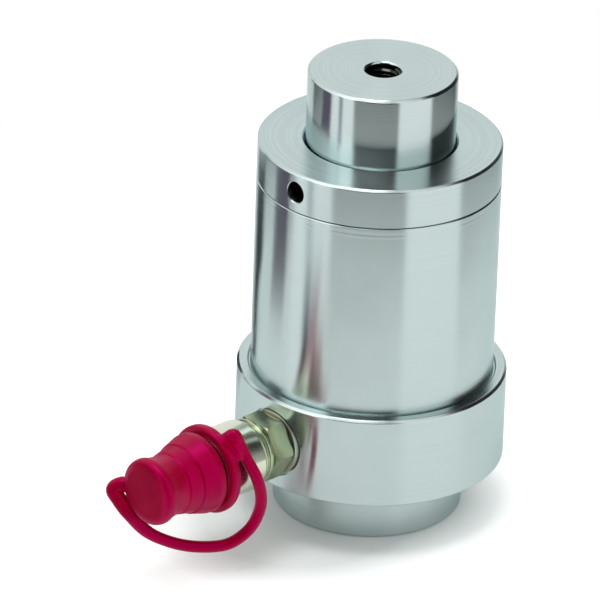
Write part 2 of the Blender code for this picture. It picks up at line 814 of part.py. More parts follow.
def poppet(axis, moving_axis):
    head_radius = POPPET_CHAMBER_RADIUS - POPPET_PLAY
    tip_radius = throat_radius - POPPET_PLAY
    cone_in = seat_cone_in - POPPET_PLAY
    cone_out = throat_in - POPPET_PLAY
    head_in = cone_in - POPPET_HEAD_LENGTH
    stem_in = head_in - POPPET_STEM_LENGTH
    groove_in = head_in + POPPET_GROOVE_INSET
    groove_out = groove_in + POPPET_GROOVE_WIDTH
    groove_radius = head_radius - POPPET_GROOVE_DEPTH
    profile = [
        (0, throat_out - GAP),
        (tip_radius, throat_out - GAP),
        (tip_radius, cone_out),
        (head_radius, cone_in),
        (head_radius, groove_out),
        (groove_radius, groove_out),
        (groove_radius, groove_in),
        (head_radius, groove_in),
        (head_radius, head_in),
        (POPPET_STEM_RADIUS, head_in),
        (POPPET_STEM_RADIUS, stem_in),
        (0, stem_in),
    ]
    solid = turned("poppet", profile, SMALL_FACETS)
    shade(solid)
    dress(solid, "poppet", "plain_steel", moving_axis)

    seal_profile = ring_profile(
        groove_radius + GAP, POPPET_CHAMBER_RADIUS - GAP, groove_in + GAP, groove_out - GAP
    )
    seal = turned("poppet_seal", seal_profile, SMALL_FACETS, closed=True)
    shade(seal)
    dress(seal, "poppet_seal", "black_rubber", moving_axis)

    points = coil_points(
        POPPET_SPRING_RADIUS,
        POPPET_SPRING_WIRE,
        POPPET_SPRING_TURNS,
        POPPET_SPRING_POINTS,
        stub_out - STUB_SOCKET_DEPTH + GAP,
        head_in - GAP,
    )
    spring = tube_curve("poppet_spring", points, POPPET_SPRING_WIRE, 1)
    dress(spring, "poppet_spring", "spring_steel", axis)


def smooth_route():
    """Evenly spaced points on a smooth curve through the strap's route."""
    route = [outward(cap_mouth + out, across, up) for out, across, up in STRAP_ROUTE]
    ends = [2 * route[0] - route[1]] + route + [2 * route[-1] - route[-2]]
    fine = []
    steps = 24
    for a, b, c, d in zip(ends, ends[1:], ends[2:], ends[3:]):
        for step in range(steps):
            t = step / steps
            bend = 2 * b + (c - a) * t + (2 * a - 5 * b + 4 * c - d) * t**2
            fine.append(0.5 * (bend + (3 * b - a - 3 * c + d) * t**3))
    fine.append(route[-1])
    return fine


def stretch(points, start, end):
    """Part of a path, evenly spaced but for a short step at each end that squares the cut."""
    inset = STRAP_SPACING / 8
    length = end - start - 2 * inset
    count = max(1, round(length / STRAP_SPACING))
    middle = [start + inset + length * step / count for step in range(count + 1)]
    wanted = [start, *middle, end]
    travelled = 0.0
    kept = []
    for first, second in zip(points, points[1:]):
        run = (second - first).length
        while wanted and wanted[0] <= travelled + run + 1e-9:
            kept.append(first.lerp(second, (wanted.pop(0) - travelled) / run))
        travelled += run
    return kept


def tether(axis, swivel, cap_axis):
    path = smooth_route()
    length = sum((b - a).length for a, b in zip(path, path[1:]))
    root_end = length * STRAP_ROOT_SHARE
    tip_start = length * STRAP_TIP_SHARE

    ring_profile_points = [
        (ring_outer_radius - RING_EDGE, ring_out),
        (ring_outer_radius, ring_out - RING_EDGE),
        (ring_outer_radius, ring_in + RING_EDGE),
        (ring_outer_radius - RING_EDGE, ring_in),
        (ring_seat_radius + GAP, ring_in),
        (ring_seat_radius + GAP, ring_out),
    ]
    ring = turned("tether_ring", ring_profile_points, RING_FACETS, closed=True)
    ring.parent = swivel
    root = as_mesh(tube_curve("strap_root", stretch(path, 0, root_end), STRAP_RADIUS))
    boolean(ring, make_cutter(root), "UNION")
    shade(ring)
    dress(ring, "tether_ring", "red_plastic", swivel)

    strap_points = stretch(path, root_end + GAP, tip_start - GAP)
    dress(tube_curve("tether_strap", strap_points, STRAP_RADIUS), "tether_strap", "red_plastic")

    cap = dust_cap(cap_axis)
    tip = as_mesh(tube_curve("strap_tip", stretch(path, tip_start, length), STRAP_RADIUS))
    boolean(cap, make_cutter(tip), "UNION")
    shade(cap)
    dress(cap, "dust_cap", "red_plastic", cap_axis)


def dust_cap(axis):
    lip_inner = lip_radius + GAP
    land_inner = nipple_land_radius + GAP
    nose_inner = nose_radius + GAP
    bead_radius = lip_inner + CAP_WALL
    step_radius = land_inner + CAP_STEP_WALL
    waist_radius = nose_inner + WAIST_WALL
    knob_in = cap_out - KNOB_LENGTH
    profile = [
        (0, cap_out),
        (KNOB_RADIUS - KNOB_EDGE, cap_out),
        (KNOB_RADIUS - KNOB_EDGE / 4, cap_out - KNOB_EDGE / 3),
        (KNOB_RADIUS, cap_out - KNOB_EDGE),
        (KNOB_RADIUS - CAP_STEP_HEIGHT / 2, knob_in + KNOB_EDGE),
        (waist_radius + CAP_STEP_HEIGHT, knob_in),
        (waist_radius, nose_in + WAIST_OUT),
        (waist_radius + CAP_STEP_HEIGHT, nose_in + CAP_STEP_LENGTH),
        (step_radius, nipple_land_in + 2 * CAP_STEP_LENGTH),
        (step_radius + CAP_STEP_HEIGHT, nipple_land_in + CAP_STEP_LENGTH),
        (step_radius + 2 * CAP_STEP_HEIGHT, nipple_land_in),
        (bead_radius, cap_mouth + FIRST_TAPER),
        (bead_radius, cap_mouth + CAP_LIP_EDGE),
        (bead_radius - CAP_LIP_EDGE, cap_mouth),
        (lip_inner, cap_mouth),
        (lip_inner, lip_out + GAP),
        (land_inner, nipple_land_in + GAP),
        (land_inner, nipple_land_out + GAP),
        (nose_inner, nose_in + GAP),
        (nose_inner, cap_cavity_out),
        (0, cap_cavity_out),
    ]
    cap = turned("dust_cap", profile, RING_FACETS)
    cap.parent = axis
    return cap


clear_scene()
pieces = new_collection("hydraulic_cylinder")
cutters = new_collection("cutters", hidden=True)

# The coupling's axes stand at its height with local +Z pointing out, along -X
out_turn = (0, -pi / 2, 0)
ram_axis = make_axis("ram_axis", (0, 0, 0))
coupling_axis = make_axis("coupling_axis", (0, 0, coupling_height), out_turn)
poppet_axis = make_axis("poppet_axis", (0, 0, coupling_height), out_turn)
tether_axis = make_axis("tether_axis", (0, 0, coupling_height), out_turn)
cap_axis = make_axis("cap_axis", (0, 0, coupling_height), out_turn)

cylinder_body()
gland_nut()
ram(ram_axis)
piston(ram_axis)
return_spring()
bonded_seal(coupling_axis)
coupling_adapter(coupling_axis)
nipple_body(coupling_axis)
poppet(coupling_axis, poppet_axis)
tether(coupling_axis, tether_axis, cap_axis)
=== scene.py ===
"""Finished surfaces of a spring-return hydraulic cylinder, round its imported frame.

Lengths are metres. +Z runs up the ram, and the coupling points along -X.
"""
from math import atan2, cos, pi, radians, sin, sqrt

import bmesh
import bpy
from bpy.props import FloatProperty, FloatVectorProperty, IntProperty, PointerProperty
from bpy.types import Operator, Panel, PropertyGroup
from mathutils import Matrix, Vector


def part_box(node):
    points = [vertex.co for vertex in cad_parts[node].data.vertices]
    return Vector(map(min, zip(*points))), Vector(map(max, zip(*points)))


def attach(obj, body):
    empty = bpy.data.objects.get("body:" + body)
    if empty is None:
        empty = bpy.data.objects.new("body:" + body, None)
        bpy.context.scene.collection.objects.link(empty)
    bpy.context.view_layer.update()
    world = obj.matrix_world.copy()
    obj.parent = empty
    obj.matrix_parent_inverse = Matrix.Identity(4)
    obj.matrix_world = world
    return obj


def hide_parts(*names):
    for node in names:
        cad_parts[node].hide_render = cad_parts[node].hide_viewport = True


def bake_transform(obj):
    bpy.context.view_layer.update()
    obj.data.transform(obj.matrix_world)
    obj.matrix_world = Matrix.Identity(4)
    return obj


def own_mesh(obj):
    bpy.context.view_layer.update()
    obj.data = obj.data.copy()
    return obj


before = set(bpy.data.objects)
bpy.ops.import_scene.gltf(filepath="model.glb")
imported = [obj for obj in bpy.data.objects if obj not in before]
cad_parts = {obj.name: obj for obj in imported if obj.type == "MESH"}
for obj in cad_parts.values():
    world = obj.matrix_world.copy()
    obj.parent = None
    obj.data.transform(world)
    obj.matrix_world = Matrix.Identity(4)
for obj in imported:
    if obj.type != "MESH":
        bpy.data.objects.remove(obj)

bl_info = {
    "name": "Hydraulic Cylinder Finish",
    "version": (1, 0, 0),
    "blender": (4, 5, 0),
    "location": "3D View > Sidebar > Cylinder",
    "description": "Turned steel, plated fittings and moulded cap of a hydraulic cylinder",
    "category": "Object",
}


def reach(node, axis, side):
    """One face of a node's box: axis 0 to 2, and side 0 for the lowest or 1 for the highest."""
    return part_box(node)[side][axis]


# Clearance between pieces that touch, and the overlap that keeps a cut clean
GAP = 0.0003
OVERCUT = 0.001

# Sizes that the frame gives
COLLAR_RADIUS = reach("cylinder_body", 0, 1)
BARREL_RADIUS = reach("gland_nut", 0, 1)
BARREL_TOP = reach("cylinder_body", 2, 1)
SKIRT_BOTTOM = reach("gland_nut", 2, 0)
GLAND_TOP = reach("gland_nut", 2, 1)
RAM_RADIUS = reach("ram", 0, 1)
RAM_TOP = reach("ram", 2, 1)
RAM_BOTTOM = reach("ram", 2, 0)
PISTON_RADIUS = reach("piston", 0, 1)
PISTON_TOP = reach("piston", 2, 1)
PISTON_BOTTOM = reach("piston", 2, 0)
ROD_RADIUS = reach("spring_rod", 0, 1)
ROD_TOP = reach("spring_rod", 2, 1)
ROD_BOTTOM = reach("spring_rod", 2, 0)
NUT_TOP = reach("rod_nut", 2, 1)
NUT_BOTTOM = reach("rod_nut", 2, 0)
SEAT_RADIUS = reach("spring_seat", 0, 1)
SEAT_TOP = reach("spring_seat", 2, 1)
HANGER_RADIUS = reach("spring_washer", 0, 1)
HANGER_TOP = reach("spring_washer", 2, 1)
HANGER_BOTTOM = reach("spring_washer", 2, 0)
COUPLING_HEIGHT = (reach("seal_washer", 2, 0) + reach("seal_washer", 2, 1)) / 2
WASHER_RADIUS = reach("seal_washer", 1, 1)
WASHER_IN = -reach("seal_washer", 0, 1)
WASHER_OUT = -reach("seal_washer", 0, 0)
PORT_THREAD_IN = -reach("coupling_adapter", 0, 1)
STUB_OUT = -reach("coupling_adapter", 0, 0)
HEX_CORNER = reach("coupling_adapter", 1, 1)
NIPPLE_IN = -reach("nipple_body", 0, 1)
NIPPLE_OUT = -reach("nipple_body", 0, 0)
NECK_RADIUS = reach("nipple_body", 1, 1)
POPPET_STEM_IN = -reach("poppet", 0, 1)
POPPET_TIP_OUT = -reach("poppet", 0, 0)
POPPET_RADIUS = reach("poppet", 1, 1)

# Body
FOOT_HEIGHT = 0.021
FOOT_RADIUS = 0.035
FOOT_EDGE = 0.0008
COLLAR_TOP = 0.056
COLLAR_EDGE = 0.0009
RELIEF_WIDTH = 0.0007
RELIEF_DEPTH = 0.0012
RELIEF_CHAMFER = 0.0004
SEAM_CHAMFER = 0.0003
WITNESS_LINES = (0.1292, 0.1276, 0.0946, 0.0612, 0.0602)
CHAMBER_FLOOR = PISTON_BOTTOM - GAP
BORE_RADIUS = PISTON_RADIUS + GAP
GLAND_THREAD_RADIUS = 0.037
SPOTFACE_RADIUS = WASHER_RADIUS + 2 * GAP
SPOTFACE_OUT = WASHER_IN - GAP
PORT_THREAD_RADIUS = 0.008
PASSAGE_RADIUS = 0.0025

# Gland
GLAND_HOLE_RADIUS = 0.0281
GLAND_EDGE = 0.0008
GLAND_MOUTH_CHAMFER = 0.0006
WIPER_RADIUS = 0.0315
WIPER_TOP = 0.1446
WIPER_BOTTOM = 0.1400
ROD_SEAL_RADIUS = 0.0330
ROD_SEAL_TOP = 0.1375
ROD_SEAL_BOTTOM = 0.1311
RAM_GUIDE_RADIUS = 0.0307
RAM_GUIDE_TOP = 0.1286
RAM_GUIDE_BOTTOM = 0.1205
GLAND_GROOVE_RADIUS = 0.0345
GLAND_GROOVE_TOP = 0.1237
GLAND_GROOVE_BOTTOM = 0.1205
PIN_HOLE_RADIUS = 0.004
PIN_HOLE_DEPTH = 0.0075
PIN_HOLE_DROP = 0.0075
PIN_HOLE_ANGLE = 183
PIN_HOLE_CHAMFER = 0.0004

# Ram and piston
RAM_EDGE = 0.0009
SPIGOT_RADIUS = 0.0237
RAM_BORE_RADIUS = 0.018
RAM_BORE_TOP = 0.1465
RAM_SHOULDER = PISTON_TOP + GAP
TAPPED_HOLE_RADIUS = 0.0066
TAPPED_HOLE_DEPTH = 0.020
TAPPED_HOLE_CHAMFER = 0.0006
DRILL_POINT = 0.0038
PISTON_NOSE_RADIUS = 0.0295
PISTON_NOSE_TOP = 0.0430
PISTON_SEAL_RADIUS = 0.0280
PISTON_SEAL_BOTTOM = 0.0455
PISTON_SEAL_TOP = 0.0525
PISTON_GUIDE_RADIUS = 0.0296
PISTON_GUIDE_BOTTOM = 0.0550
PISTON_GUIDE_TOP = 0.0630
BACKUP_HEIGHT = 0.0016
LIP_NOTCH = 0.0016

# Return spring
SEAT_HOLE_RADIUS = 0.008
SPRING_RADIUS = 0.0125
SPRING_WIRE = 0.0016
SPRING_TURNS = 9

# Coupling adapter
BONDED_METAL_RADIUS = 0.0099
BONDED_LIP = 0.0003
HEX_IN = WASHER_OUT + GAP
HEX_LENGTH = 0.009
HEX_OUT = HEX_IN + HEX_LENGTH
HEX_CHAMFER = 0.0007
GROOVE_RADIUS = 0.0108
FLANGE_RADIUS = 0.0124
FLANGE_IN = HEX_OUT + 0.001
FLANGE_OUT = NIPPLE_IN - GAP
ADAPTER_BORE_RADIUS = 0.0035
STUB_RADIUS = 0.009
SOCKET_RADIUS = 0.006
SOCKET_DEPTH = 0.008
STUB_GROOVE_IN = 0.0716
STUB_GROOVE_OUT = 0.0740
STUB_GROOVE_RADIUS = 0.0075

# Nipple and poppet
NECK_CHAMFER = 0.0008
NECK_OUT = 0.0801
RING_SEAT_RADIUS = 0.0124
RING_SEAT_OUT = 0.0849
LIP_RADIUS = 0.0130
LIP_OUT = 0.0915
LAND_RADIUS = 0.0112
LAND_IN = 0.0943
LAND_OUT = 0.0975
NOSE_RADIUS = 0.0093
NOSE_IN = 0.0994
NOSE_CHAMFER = 0.0006
MOUTH_RADIUS = 0.0065
THROAT_RADIUS = 0.005
THROAT_IN = 0.0946
THROAT_OUT = 0.0965
CHAMBER_RADIUS = 0.0076
SEAT_CONE_IN = 0.0920
POPPET_STEM_RADIUS = 0.0025
POPPET_HEAD_IN = 0.0876
POPPET_HEAD_OUT = 0.0916
POPPET_TIP_IN = 0.0942
POPPET_TIP_RADIUS = 0.0046
POPPET_GROOVE_IN = 0.0887
POPPET_GROOVE_OUT = 0.0905
POPPET_GROOVE_RADIUS = 0.0059
POPPET_SPRING_RADIUS = 0.0044
POPPET_SPRING_WIRE = 0.0005
POPPET_SPRING_TURNS = 5

# Tether ring and dust cap
RING_IN = NECK_OUT + GAP
RING_THICKNESS = 0.0042
RING_OUT = RING_IN + RING_THICKNESS
RING_RADIUS = 0.0168
RING_EDGE = 0.0011
CAP_MOUTH = 0.0864
CAP_END = 0.1135
CAP_CAVITY_END = 0.1052

# Route of the strap's middle: outward from the cap's mouth, across, and up from the coupling axis
STRAP_ROUTE = (
    (-0.0048, -0.0068, 0.0134),
    (-0.0068, -0.0104, 0.0170),
    (-0.0085, -0.0119, 0.0130),
    (-0.0099, -0.0145, 0.0074),
    (-0.0123, -0.0175, 0.0002),
    (-0.0143, -0.0180, -0.0079),
    (-0.0143, -0.0170, -0.0149),
    (-0.0115, -0.0150, -0.0218),
    (-0.0049, -0.0115, -0.0268),
    (0.0039, -0.0065, -0.0271),
    (0.0124, -0.0010, -0.0249),
    (0.0206, 0.0045, -0.0198),
    (0.0254, 0.0092, -0.0126),
    (0.0271, 0.0135, -0.0076),
    (0.0275, 0.0160, -0.0045),
    (0.0255, 0.0142, -0.0024),
    (0.0235, 0.0112, -0.0024),
    (0.0218, 0.0086, -0.0030),
)
# How much thicker the strap is where it meets the cap
STRAP_END_SWELL = 1.32

# Camera: where it stands, what it looks at and how it is tipped
LOOK_HEIGHT = 0.086
CAMERA_DISTANCE = 3.01
CAMERA_AZIMUTH = -44.9
CAMERA_ELEVATION = 26.4
CAMERA_PAN = 0.52
CAMERA_TILT = 0.11
CAMERA_ROLL = 2.28
CAMERA_LENS = 490


class CylinderSizes(PropertyGroup):
    """Sizes of the finish that can be changed."""

    steps: IntProperty(name="Steps", description="Steps round a turned piece", default=192, min=24)
    rounding: FloatProperty(
        name="Rounding",
        description="Radius left on a turned edge",
        default=0.00015,
        min=0.0,
        unit="LENGTH",
    )
    thread_pitch: FloatProperty(
        name="Thread pitch",
        description="Pitch of the tapped hole in the ram",
        default=0.0015,
        min=0.0005,
        unit="LENGTH",
    )
    thread_depth: FloatProperty(
        name="Thread depth",
        description="Depth of the tapped hole's thread",
        default=0.0008,
        min=0.0001,
        unit="LENGTH",
    )
    strap_radius: FloatProperty(
        name="Strap radius",
        description="Radius of the cap's strap",
        default=0.0022,
        min=0.0005,
        unit="LENGTH",
    )


class CylinderColours(PropertyGroup):
    """Colours of the finishes."""

    steel: FloatVectorProperty(
        name="Steel", description="Turned body and gland", subtype="COLOR", default=(0.575, 0.67, 0.665)
    )
    ram: FloatVectorProperty(
        name="Ram", description="Ground ram", subtype="COLOR", default=(0.585, 0.675, 0.67)
    )
    plain: FloatVectorProperty(
        name="Inner steel", description="Piston and poppet", subtype="COLOR", default=(0.52, 0.53, 0.54)
    )
    spring: FloatVectorProperty(
        name="Spring steel", description="Both springs", subtype="COLOR", default=(0.35, 0.36, 0.38)
    )
    zinc: FloatVectorProperty(
        name="Zinc", description="Plating of the hexagon", subtype="COLOR", default=(0.40, 0.49, 0.34)
    )
    dull_zinc: FloatVectorProperty(
        name="Dull zinc", description="Washers and nut", subtype="COLOR", default=(0.55, 0.57, 0.53)
    )
    nickel: FloatVectorProperty(
        name="Nickel", description="Plating of the nipple", subtype="COLOR", default=(0.66, 0.72, 0.63)
    )
    rubber: FloatVectorProperty(
        name="Rubber", description="O-rings and bonded seal", subtype="COLOR", default=(0.02, 0.02, 0.02)
    )
    seal: FloatVectorProperty(
        name="Seals", description="Wiper, rod and piston seals", subtype="COLOR", default=(0.10, 0.22, 0.42)
    )
    guide: FloatVectorProperty(
        name="Guides", description="Guide strips", subtype="COLOR", default=(0.40, 0.31, 0.20)
    )
    plastic: FloatVectorProperty(
        name="Cap", description="Soft plastic of the cap and strap", subtype="COLOR", default=(0.25, 0.0, 0.001)
    )


class CylinderStage(PropertyGroup):
    """Floor and light."""

    floor: FloatVectorProperty(
        name="Floor", description="Colour of the floor", subtype="COLOR", default=(0.86, 0.885, 0.875)
    )
    floor_radius: FloatProperty(
        name="Floor radius", description="Reach of the floor", default=0.345, min=0.2, unit="LENGTH"
    )
    sky: FloatProperty(
        name="Sky", description="Strength of the even light", default=0.8, min=0.0, max=1.0, subtype="FACTOR"
    )
    key: FloatProperty(
        name="Key", description="Power of the key light, in watts", default=9.0, min=0.0, unit="POWER"
    )
    fill: FloatProperty(
        name="Fill", description="Power of the fill light, in watts", default=2.0, min=0.0, unit="POWER"
    )


# Shapes


def new_piece(name, drawing):
    """Object from a finished bmesh, which has to be closed."""
    open_edges = sum(1 for edge in drawing.edges if len(edge.link_faces) != 2)
    if open_edges:
        raise RuntimeError(f"{name} has {open_edges} open edges")
    mesh = bpy.data.meshes.new(name)
    drawing.to_mesh(mesh)
    drawing.free()
    mesh.shade_smooth()
    obj = bpy.data.objects.new(name, mesh)
    bpy.context.scene.collection.objects.link(obj)
    return obj


def bake(obj):
    """Writes the piece's modifiers into its mesh."""
    bpy.context.view_layer.update()
    graph = bpy.context.evaluated_depsgraph_get()
    mesh = bpy.data.meshes.new_from_object(obj.evaluated_get(graph))
    obj.modifiers.clear()
    obj.data = mesh
    mesh.name = obj.name


def smooth(obj, angle=30):
    """Smooth shading that keeps flat faces flat and marks the sharp edges."""
    obj.data.shade_smooth()
    obj.data.set_sharp_from_angle(angle=radians(angle))
    weighted = obj.modifiers.new("Normals", "WEIGHTED_NORMAL")
    weighted.keep_sharp = True
    weighted.weight = 100
    bake(obj)
    return obj


def cut(obj, cutter, operation="DIFFERENCE"):
    """Cuts a piece with another, or joins them, and removes the other."""
    modifier = obj.modifiers.new("Cut", "BOOLEAN")
    modifier.operation = operation
    modifier.object = cutter
    modifier.solver = "EXACT"
    bake(obj)
    bpy.data.objects.remove(cutter, do_unlink=True)
    return obj


def skinned(name, parts, voxel, passes):
    """One soft skin round closed pieces that overlap, which it takes the place of."""
    drawing = bmesh.new()
    for part in parts:
        drawing.from_mesh(part.data)
        bpy.data.objects.remove(part, do_unlink=True)
    whole = new_piece(name, drawing)
    skin = whole.modifiers.new("Skin", "REMESH")
    skin.mode = "VOXEL"
    skin.voxel_size = voxel
    soften = whole.modifiers.new("Soften", "SMOOTH")
    soften.factor = 0.5
    soften.iterations = passes
    bake(whole)
    whole.data.shade_smooth()
    return whole


def outward(distance, across=0.0, up=0.0):
    """Point at a distance out along the coupling axis."""
    return Vector((-distance, across, COUPLING_HEIGHT + up))


def coupling_place():
    """Turns +Z out along the coupling and lifts it to the coupling's height."""
    return Matrix.Translation((0, 0, COUPLING_HEIGHT)) @ Matrix.Rotation(-pi / 2, 4, "Y")


def turned(name, outline, closed=False, coupling=False, steps=None):
    """Piece turned from (radius, distance) points, with a rounding as a third value where wanted."""
    sizes = bpy.context.scene.cylinder_sizes
    drawing = bmesh.new()
    points = [drawing.verts.new((point[0], 0.0, point[1])) for point in outline]
    following = points[1:] + points[:1] if closed else points[1:]
    for first, second in zip(points, following):
        drawing.edges.new((first, second))
    roundings = {}
    for vertex, point in zip(points, outline):
        rounding = point[2] if len(point) > 2 else sizes.rounding
        if rounding > 0 and point[0] > 0:
            roundings.setdefault(rounding, []).append(vertex)
    for rounding, corners in roundings.items():
        bmesh.ops.bevel(
            drawing, geom=corners, offset=rounding, offset_type="OFFSET", segments=3,
            profile=0.5, affect="VERTICES", clamp_overlap=True, material=-1,
        )
    bmesh.ops.spin(
        drawing, geom=drawing.verts[:] + drawing.edges[:], cent=(0, 0, 0), axis=(0, 0, 1),
        dvec=(0, 0, 0), angle=2 * pi, steps=steps or sizes.steps, use_merge=True,
    )
    bmesh.ops.remove_doubles(drawing, verts=drawing.verts, dist=1e-7)
    bmesh.ops.recalc_face_normals(drawing, faces=drawing.faces)
    if coupling:
        bmesh.ops.transform(drawing, matrix=coupling_place(), verts=drawing.verts)
    return new_piece(name, drawing)


def ring_outline(inner, outer, bottom, top):
    return [(outer, top), (outer, bottom), (inner, bottom), (inner, top)]


def drilled(name, radius, start, end, point=0.0, flare=0.0, steps=64):
    """Cutter with the shape of a drilled hole from its mouth at start to its full depth at end."""
    run = Vector(end) - Vector(start)
    drawing = bmesh.new()
    hole = [(0.0, 0.0), (radius, 0.0), (radius, run.length), (0.0, run.length + point)]
    if flare:
        wide = radius + flare
        hole[1:2] = [(wide, 0.0), (wide, OVERCUT), (radius, OVERCUT + flare)]
    points = [drawing.verts.new((along_radius, 0.0, depth)) for along_radius, depth in hole]
    for first, second in zip(points, points[1:]):
        drawing.edges.new((first, second))
    bmesh.ops.spin(
        drawing, geom=drawing.verts[:] + drawing.edges[:], cent=(0, 0, 0), axis=(0, 0, 1),
        dvec=(0, 0, 0), angle=2 * pi, steps=steps, use_merge=True,
    )
    bmesh.ops.remove_doubles(drawing, verts=drawing.verts, dist=1e-7)
    bmesh.ops.recalc_face_normals(drawing, faces=drawing.faces)
    turn = run.to_track_quat("Z", "Y").to_matrix().to_4x4()
    place = Matrix.Translation(start) @ turn
    bmesh.ops.transform(drawing, matrix=place, verts=drawing.verts)
    return new_piece(name, drawing)


def hexagon(name, corner, bottom, top):
    """Six-sided prism on +Z with corners facing +Y and -Y."""
    drawing = bmesh.new()
    middle = Matrix.Translation((0, 0, (bottom + top) / 2)) @ Matrix.Rotation(pi / 2, 4, "Z")
    bmesh.ops.create_cone(
        drawing, cap_ends=True, segments=6, radius1=corner, radius2=corner, depth=top - bottom, matrix=middle
    )
    widest = max(abs(vertex.co.y) for vertex in drawing.verts)
    if widest < corner * 0.99:
        bmesh.ops.rotate(
            drawing, verts=drawing.verts, cent=(0, 0, 0), matrix=Matrix.Rotation(pi / 6, 3, "Z")
        )
    bmesh.ops.recalc_face_normals(drawing, faces=drawing.faces)
    return new_piece(name, drawing)


def wound(name, section, stages, steps, coupling=False):
    """Closed section of (radius, height) points wound round +Z, in stages of (turns, pitch)."""
    drawing = bmesh.new()
    loop = [drawing.verts.new((radius, 0.0, height)) for radius, height in section]
    face = drawing.faces.new(loop)
    geometry = [face] + list(face.edges) + list(face.verts)
    for turns, pitch in stages:
        count = max(1, round(turns * steps))
        wound_on = bmesh.ops.spin(
            drawing, geom=geometry, cent=(0, 0, 0), axis=(0, 0, 1), dvec=(0, 0, pitch / steps),
            angle=2 * pi * turns, steps=count, use_merge=False,
        )
        geometry = wound_on["geom_last"]
    bmesh.ops.remove_doubles(drawing, verts=drawing.verts, dist=1e-8)
    inner = [f for f in drawing.faces if all(len(e.link_faces) > 2 for e in f.edges)]
    bmesh.ops.delete(drawing, geom=inner, context="FACES_ONLY")
    bmesh.ops.recalc_face_normals(drawing, faces=drawing.faces)
    if coupling:
        bmesh.ops.transform(drawing, matrix=coupling_place(), verts=drawing.verts)
    return new_piece(name, drawing)


def spring(name, radius, wire, turns, bottom, top, coupling=False, steps=36, sides=14):
    """Compression spring whose end turns lie close to its seats."""
    section = [
        (radius + wire * cos(2 * pi * side / sides), bottom + wire + wire * sin(2 * pi * side / sides))
        for side in range(sides)
    ]
    closed_pitch = 2 * wire + GAP
    open_turns = turns - 2
    open_pitch = (top - bottom - 2 * wire - 2 * closed_pitch) / open_turns
    stages = [(1, closed_pitch), (open_turns, open_pitch), (1, closed_pitch)]
    return wound(name, section, stages, steps, coupling)


def smooth_route():
    """Evenly spaced points on a smooth curve through the strap's route."""
    route = [outward(CAP_MOUTH + out, across, up) for out, across, up in STRAP_ROUTE]
    ends = [2 * route[0] - route[1]] + route + [2 * route[-1] - route[-2]]
    fine = []
    steps = 10
    for a, b, c, d in zip(ends, ends[1:], ends[2:], ends[3:]):
        for step in range(steps):
            t = step / steps
            bend = 2 * b + (c - a) * t + (2 * a - 5 * b + 4 * c - d) * t**2
            fine.append(0.5 * (bend + (3 * b - a - 3 * c + d) * t**3))
    fine.append(route[-1])
    return fine


def swept(name, path, radii, sides=28):
    """Round bar along a path, with its own radius at each point."""
    drawing = bmesh.new()
    frames = []
    turn = None
    for index, point in enumerate(path):
        ahead = path[min(index + 1, len(path) - 1)] - path[max(index - 1, 0)]
        if turn is None:
            turn = ahead.to_track_quat("Z", "Y")
        else:
            turn = (turn @ Vector((0, 0, 1))).rotation_difference(ahead) @ turn
        frames.append(Matrix.Translation(point) @ turn.to_matrix().to_4x4() @ Matrix.Scale(radii[index], 4))
    made = bmesh.ops.create_circle(drawing, cap_ends=True, segments=sides, radius=1.0, matrix=frames[0])
    edges = list({edge for vertex in made["verts"] for edge in vertex.link_edges})
    for before, after in zip(frames, frames[1:]):
        grown = bmesh.ops.extrude_edge_only(drawing, edges=edges)["geom"]
        fresh = [item for item in grown if isinstance(item, bmesh.types.BMVert)]
        edges = [item for item in grown if isinstance(item, bmesh.types.BMEdge)]
        edges = [edge for edge in edges if all(vertex in fresh for vertex in edge.verts)]
        bmesh.ops.transform(drawing, matrix=after @ before.inverted(), verts=fresh)
    bmesh.ops.holes_fill(drawing, edges=edges, sides=0)
    bmesh.ops.recalc_face_normals(drawing, faces=drawing.faces)
    return new_piece(name, drawing)


# Finishes


def add(tree, kind, inputs=None, **settings):
    """Adds a node, sets its properties, and feeds inputs with values or with other sockets."""
    node = tree.nodes.new("ShaderNode" + kind)
    for key, value in settings.items():
        setattr(node, key, value)
    for key, value in (inputs or {}).items():
        if isinstance(value, bpy.types.NodeSocket):
            tree.links.new(value, node.inputs[key])
        else:
            node.inputs[key].default_value = value
    return node


def maths(tree, operation, first, second=0.0, third=0.0):
    values = {0: first, 1: second, 2: third}
    return add(tree, "Math", values, operation=operation).outputs[0]


def remap(tree, value, low, high, out_low, out_high):
    """Linear change of range, held at its ends."""
    inputs = {"Value": value, "From Min": low, "From Max": high, "To Min": out_low, "To Max": out_high}
    return add(tree, "MapRange", inputs, clamp=True).outputs["Result"]


def tint(tree, factor, first, second):
    inputs = {"Factor": factor, "A": (*first, 1.0), "B": (*second, 1.0)}
    node = tree.nodes.new("ShaderNodeMix")
    node.data_type = "RGBA"
    tree.links.new(factor, node.inputs[0])
    node.inputs[6].default_value = inputs["A"]
    node.inputs[7].default_value = inputs["B"]
    return node.outputs[2]


def new_finish(name):
    material = bpy.data.materials.new(name)
    material.use_nodes = True
    tree = material.node_tree
    shader = tree.nodes["Principled BSDF"]
    return material, tree, shader


def centred(tree, coupling):
    """Object coordinates with +Z along the piece's own axis."""
    place = add(tree, "TexCoord").outputs["Object"]
    if coupling:
        lowered = {"Vector": place, "Location": (0.0, 0.0, -COUPLING_HEIGHT)}
        place = add(tree, "Mapping", lowered, vector_type="POINT").outputs["Vector"]
        upright = {"Vector": place, "Rotation": (0.0, pi / 2, 0.0)}
        place = add(tree, "Mapping", upright, vector_type="POINT").outputs["Vector"]
    return place


